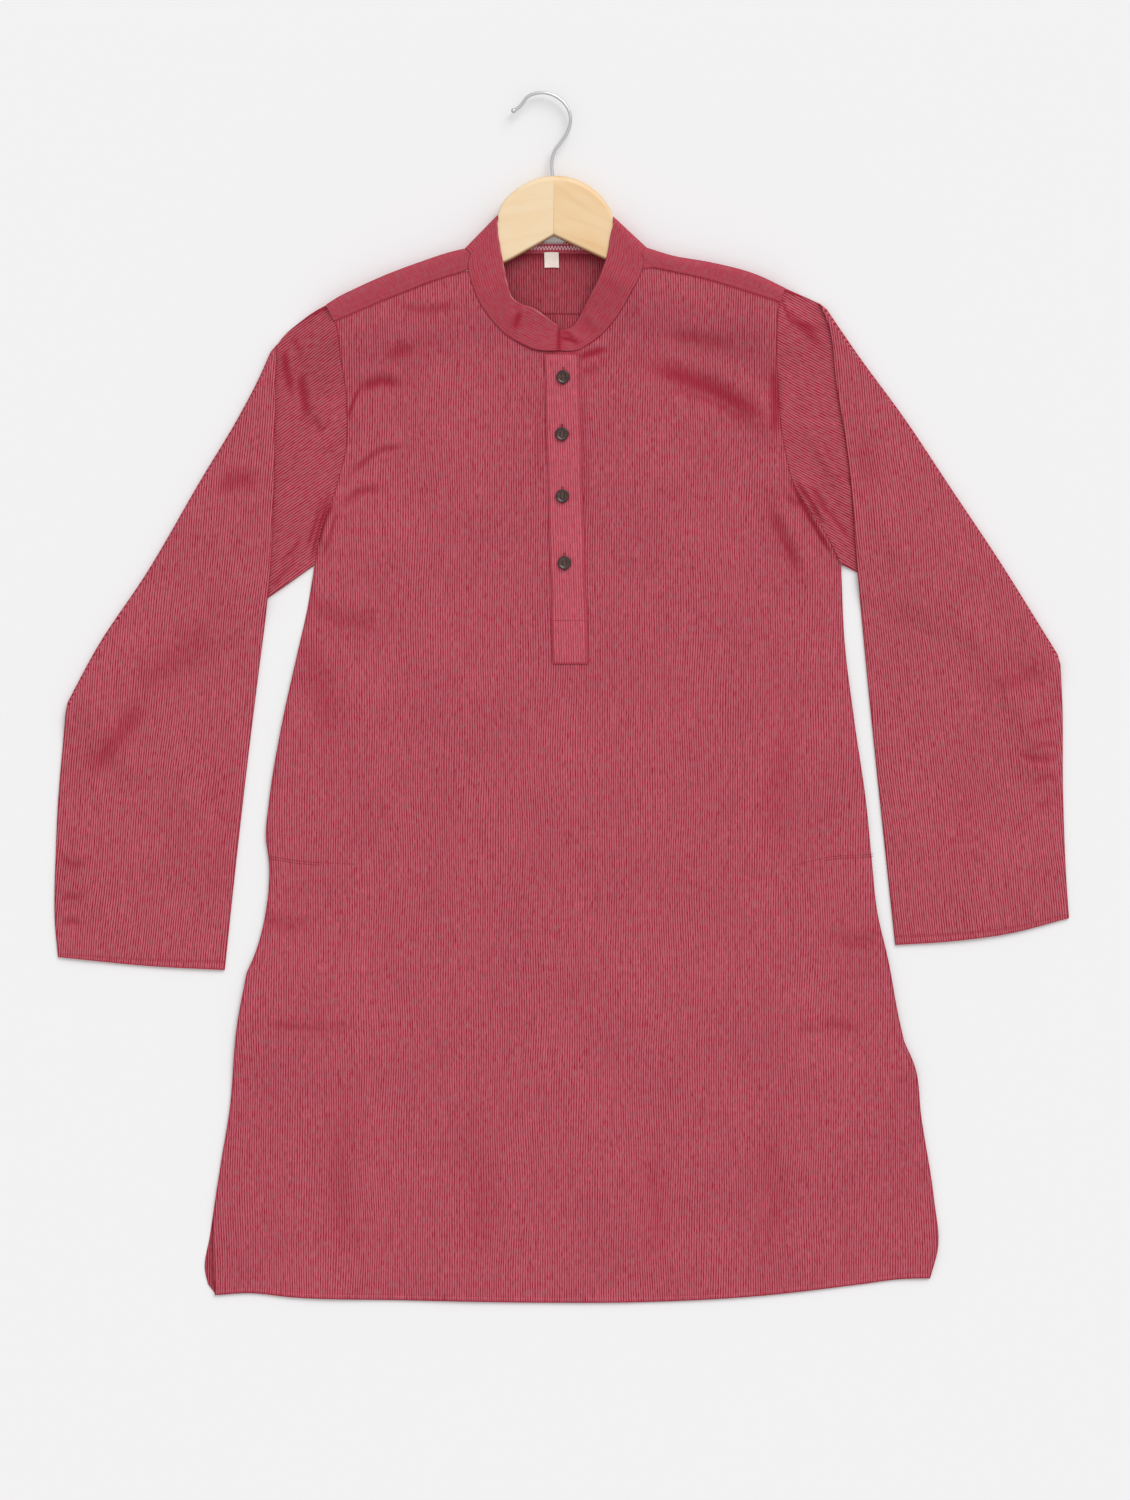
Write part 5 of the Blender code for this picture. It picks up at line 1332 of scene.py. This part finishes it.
def hornButton(name, centre):
    # turned profile of radius and height, with four round pits sunk through the dish
    radius, thick, sides = buttonPiece["wide"] / 2, buttonPiece["thick"], buttonPiece["sides"]
    base, out = buttonPiece["base"], buttonPiece["out"]
    profile = np.array(buttonPiece["profile"]) * (radius, thick)
    dishEnd, dishHigh = profile[-1]
    walls = through(profile, np.linspace(0, 1, 30))
    dish = np.stack([np.linspace(dishEnd, 0.06, 28)[1:], np.full(27, dishHigh)], -1)
    foot = np.array([(0.1, 0.0), (0.4 * radius, 0.0)])
    rings = np.concatenate([foot, walls, dish])
    turn = np.linspace(0, 2 * math.pi, sides, endpoint=False)
    x, y = rings[:, :1] * np.cos(turn), rings[:, :1] * np.sin(turn)
    far = np.min([np.hypot(x - a * out, y - b * out) for a in (-1, 1) for b in (-1, 1)], axis=0)
    upper = np.arange(len(rings))[:, None] > len(foot) + 8
    pit = soft((buttonPiece["hole"] - far) / 0.16 + 0.5) * upper
    z = rings[:, 1:] - pit * (rings[:, 1:] - 0.2)
    points = np.stack([x + centre[0], y + centre[1], z + base], -1).reshape(-1, 3)
    poles = np.array([[*centre, base], [*centre, base + dishHigh]])
    # a mark that darkens the rim, and painted shade in the four pits
    rim = np.broadcast_to(soft((rings[:, :1] / radius - 0.72) / 0.15), x.shape)
    marks = np.concatenate([np.maximum(rim, pit).ravel(), [0, 0]])
    piece = newMesh(name, np.concatenate([points, poles]), tubeFaces(len(rings), sides), looks["button"],
                    crease=marks, sharp=60)
    top = base + dishHigh + 0.15
    starts, ends = ([(centre[0] + a * out, centre[1] + b * out, top) for b in (-1, 1)] for a in (-1, 1))
    threads(name + "Thread", starts, ends, looks["brownThread"], 0.7, 0.6)
    return piece


def buttonhole(name, centre):
    # close stitches on both sides of an upright slit, with one across each end
    long, half = holePiece["long"], holePiece["half"]
    y = np.arange(-long / 2, long / 2, holePiece["pitch"]) + centre[1] + holePiece["up"]
    z = frontTop(np.stack([np.full(len(y), centre[0]), y], -1)) + placketPiece["thick"] + 0.2
    starts, ends = ([np.stack([np.full(len(y), centre[0] + side * far), y, z], -1) for side in (-1, 1)]
                    for far in (holePiece["slit"], half))
    for edge in (y[0] - 0.4, y[-1] + 0.4):
        starts.append(np.array([[centre[0] - half, edge, z[0]]]))
        ends.append(np.array([[centre[0] + half, edge, z[0]]]))
    return threads(name, np.concatenate(starts), np.concatenate(ends), looks["darkThread"],
                   0.5, 0.4)


for number, centre in enumerate(buttonTable, start=1):
    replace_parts(hornButton(f"hornButton{number}", centre), f"button_{number}")
    buttonhole(f"buttonhole{number}", centre)
print("buttons made")


# Hanger

def woodArm(name, table, look):
    # sections across the arm carried along it: round upper edge, eased lower edge, flat faces
    half, eased = wood["thick"] / 2, wood["eased"]
    rows = through(table, np.concatenate([np.linspace(0, 0.3, 60), np.linspace(0.3, 1, 70)[1:]]))
    top, low = rows[:, :2], rows[:, 2:]
    wide = lengths(low - top)[:, None]
    turn, easeTurn = np.radians(np.linspace(-90, 90, 15)), np.radians(np.linspace(0, 90, 6))
    flat = np.linspace(0, 1, 8)[1:-1]
    upper, still = half - half * np.cos(turn), np.zeros(len(flat))
    depth = np.concatenate([
        np.broadcast_to(upper, (len(rows), len(upper))), half + flat * (wide - eased - half),
        wide - eased + eased * np.sin(easeTurn), wide - eased + eased * np.sin(easeTurn[::-1]),
        half + flat[::-1] * (wide - eased - half)], axis=1)
    drop = eased * (1 - np.cos(easeTurn))
    rise = np.concatenate([half * np.sin(turn), still + half, half - drop, drop[::-1] - half, still - half])
    plan = top[:, None] + depth[..., None] * ((low - top) / wide)[:, None]
    grid = raised(plan, wood["bottom"] + half + rise)
    # painted shade: a dark line along the arm's upper outline, darkest on the eased lower edge
    edge = np.concatenate([0.5 * bell(turn, 0.5), still, np.sin(easeTurn), np.sin(easeTurn[::-1]), still])
    points = np.concatenate([grid.reshape(-1, 3), grid[[0, -1]].mean(1)])
    marks = np.concatenate([np.broadcast_to(edge, depth.shape).ravel(), [0, 0]])
    return newMesh(name, points, tubeFaces(*depth.shape), look, crease=marks, sharp=35)


armL = woodArm("hangerArmLeft", woodLeft, looks["wood_left"])
armR = woodArm("hangerArmRight", woodRight, looks["wood_right"])
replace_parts(armL, "hanger_arm_left")
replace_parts(armR, "hanger_arm_right")

hookPiece = {"wide": 3.1, "tip": 2.4, "height": wood["bottom"] + wood["thick"] / 2, "sides": 20}
hookTable = [(-8.2, 478.0), (-8.2, 495.4), (-8.7, 508.2), (-5.5, 519.2), (-0.4, 526.0), (5.4, 534.7),
             (9.1, 548.4), (7.7, 555.9), (-1.5, 567.8), (-16.5, 573.5), (-30.9, 570.1), (-39.5, 560.0),
             (-47.0, 555.1)]


def wireGroup():
    # drawn bright wire: faint lengthwise streaks that change its brightness and gloss
    tree, given, out = nodeGroup("drawnWire", {"Place": None, "Tint": anyColour},
                                 ("Color", "Height", "Roughness"))
    streak = noise(tree, given["Place"], (500, 500, 1800))
    light = calc(tree, "MULTIPLY_ADD", streak, 0.24, 0.88)
    tree.links.new(lit(tree, given["Tint"], light), out["Color"])
    tree.links.new(streak, out["Height"])
    tree.links.new(calc(tree, "MULTIPLY_ADD", streak, 0.16, 0.24), out["Roughness"])
    return tree


def brightWire():
    # painted dark reflection: the colour turns dark where the wire turns from the view, so its outline is
    # darker
    look = material("hookSteel", wireGroup(), {"Tint": paint(222, 222, 224)}, "Object", bump=0.03,
                    distance=0.0001, fixed={"Metallic": 1.0})
    tree = look.node_tree
    turned = tree.nodes.new("ShaderNodeLayerWeight")
    turned.inputs["Blend"].default_value = 0.3
    base = tree.nodes["Principled BSDF"].inputs["Base Color"]
    drawn = base.links[0].from_socket
    # painted dark reflection at the outline
    tree.links.new(blended(tree, turned.outputs["Facing"], drawn, paint(66, 66, 70)), base)
    return look


def hook():
    # rings round the wire's path, the last of them closing to a round tip
    path = raised(through(hookTable, np.concatenate([np.linspace(0, 0.965, 180), np.linspace(0.967, 1, 40)])),
                  hookPiece["height"])
    tip, sides = hookPiece["tip"], hookPiece["sides"]
    fromTip = chordOf(path)[-1] - chordOf(path)
    ball = tip * np.sqrt(np.clip(1 - ((fromTip - tip) / tip) ** 2, 0, 1))
    radii = np.maximum(np.where(fromTip > tip, hookPiece["wide"] / 2, 0), ball)
    radii[-1] = 0.2
    along = unit(np.gradient(path, axis=0))
    across = unit(np.cross(along, [0.0, 0.0, 1.0]))
    above = np.cross(across, along)
    turn = np.linspace(0, 2 * math.pi, sides, endpoint=False)[:, None]
    around = np.cos(turn) * across[:, None] + np.sin(turn) * above[:, None]
    rings = path[:, None] + radii[:, None, None] * around
    points = np.concatenate([rings.reshape(-1, 3), path[:1], path[-1:]])
    return newMesh("hookWire", points, tubeFaces(len(path), sides), looks["steel"])


looks["steel"] = brightWire()
hookWire = hook()
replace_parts(hookWire, "hanger_hook")
print("hanger made")
# Floor, light and camera

studio = {"floor": 30.0, "paper": (246, 245, 246), "sky": 0.68, "window": 1.40, "spread": 42.0,
          "from": (0.55, 1.0, 1.0), "height": 5.0, "view": (0.0038, -0.0499), "tall": 1.425}

floorMesh = bpy.data.meshes.new("floor")
reach = studio["floor"] / 2
floorMesh.from_pydata([(-reach, -reach, 0), (reach, -reach, 0), (reach, reach, 0), (-reach, reach, 0)], [],
                      [(0, 1, 2, 3)])
floor = bpy.data.objects.new("floor", floorMesh)
bpy.context.scene.collection.objects.link(floor)
paperLook = bpy.data.materials.new("paper")
paperLook.use_nodes = True
paperShader = paperLook.node_tree.nodes["Principled BSDF"]
paperShader.inputs["Base Color"].default_value = paint(*studio["paper"])
paperShader.inputs["Roughness"].default_value = 0.9
paperShader.inputs["Specular IOR Level"].default_value = 0.1
floorMesh.materials.append(paperLook)

world = bpy.data.worlds.new("studio")
world.use_nodes = True
world.node_tree.nodes["Background"].inputs["Color"].default_value = (1.0, 1.0, 1.0, 1.0)
world.node_tree.nodes["Background"].inputs["Strength"].default_value = studio["sky"]
bpy.context.scene.world = world


# one broad window beyond the collar, to the right
window = bpy.data.lights.new("window", "SUN")
window.energy = studio["window"]
window.angle = math.radians(studio["spread"])
windowHolder = bpy.data.objects.new("window", window)
windowHolder.location = studio["from"]
windowHolder.rotation_mode = "QUATERNION"
windowHolder.rotation_quaternion = (-Vector(studio["from"])).to_track_quat("-Z", "Y")
bpy.context.scene.collection.objects.link(windowHolder)

camera = bpy.data.objects.new("camera", bpy.data.cameras.new("camera"))
camera.location = (studio["view"][0], studio["view"][1], studio["height"])
camera.data.sensor_width = 36.0
camera.data.lens = 36.0 * studio["height"] / studio["tall"]
camera.data.clip_end = 60.0
bpy.context.scene.collection.objects.link(camera)
bpy.context.scene.camera = camera
bpy.context.scene.view_settings.view_transform = "Standard"
print("stage, light and camera made")
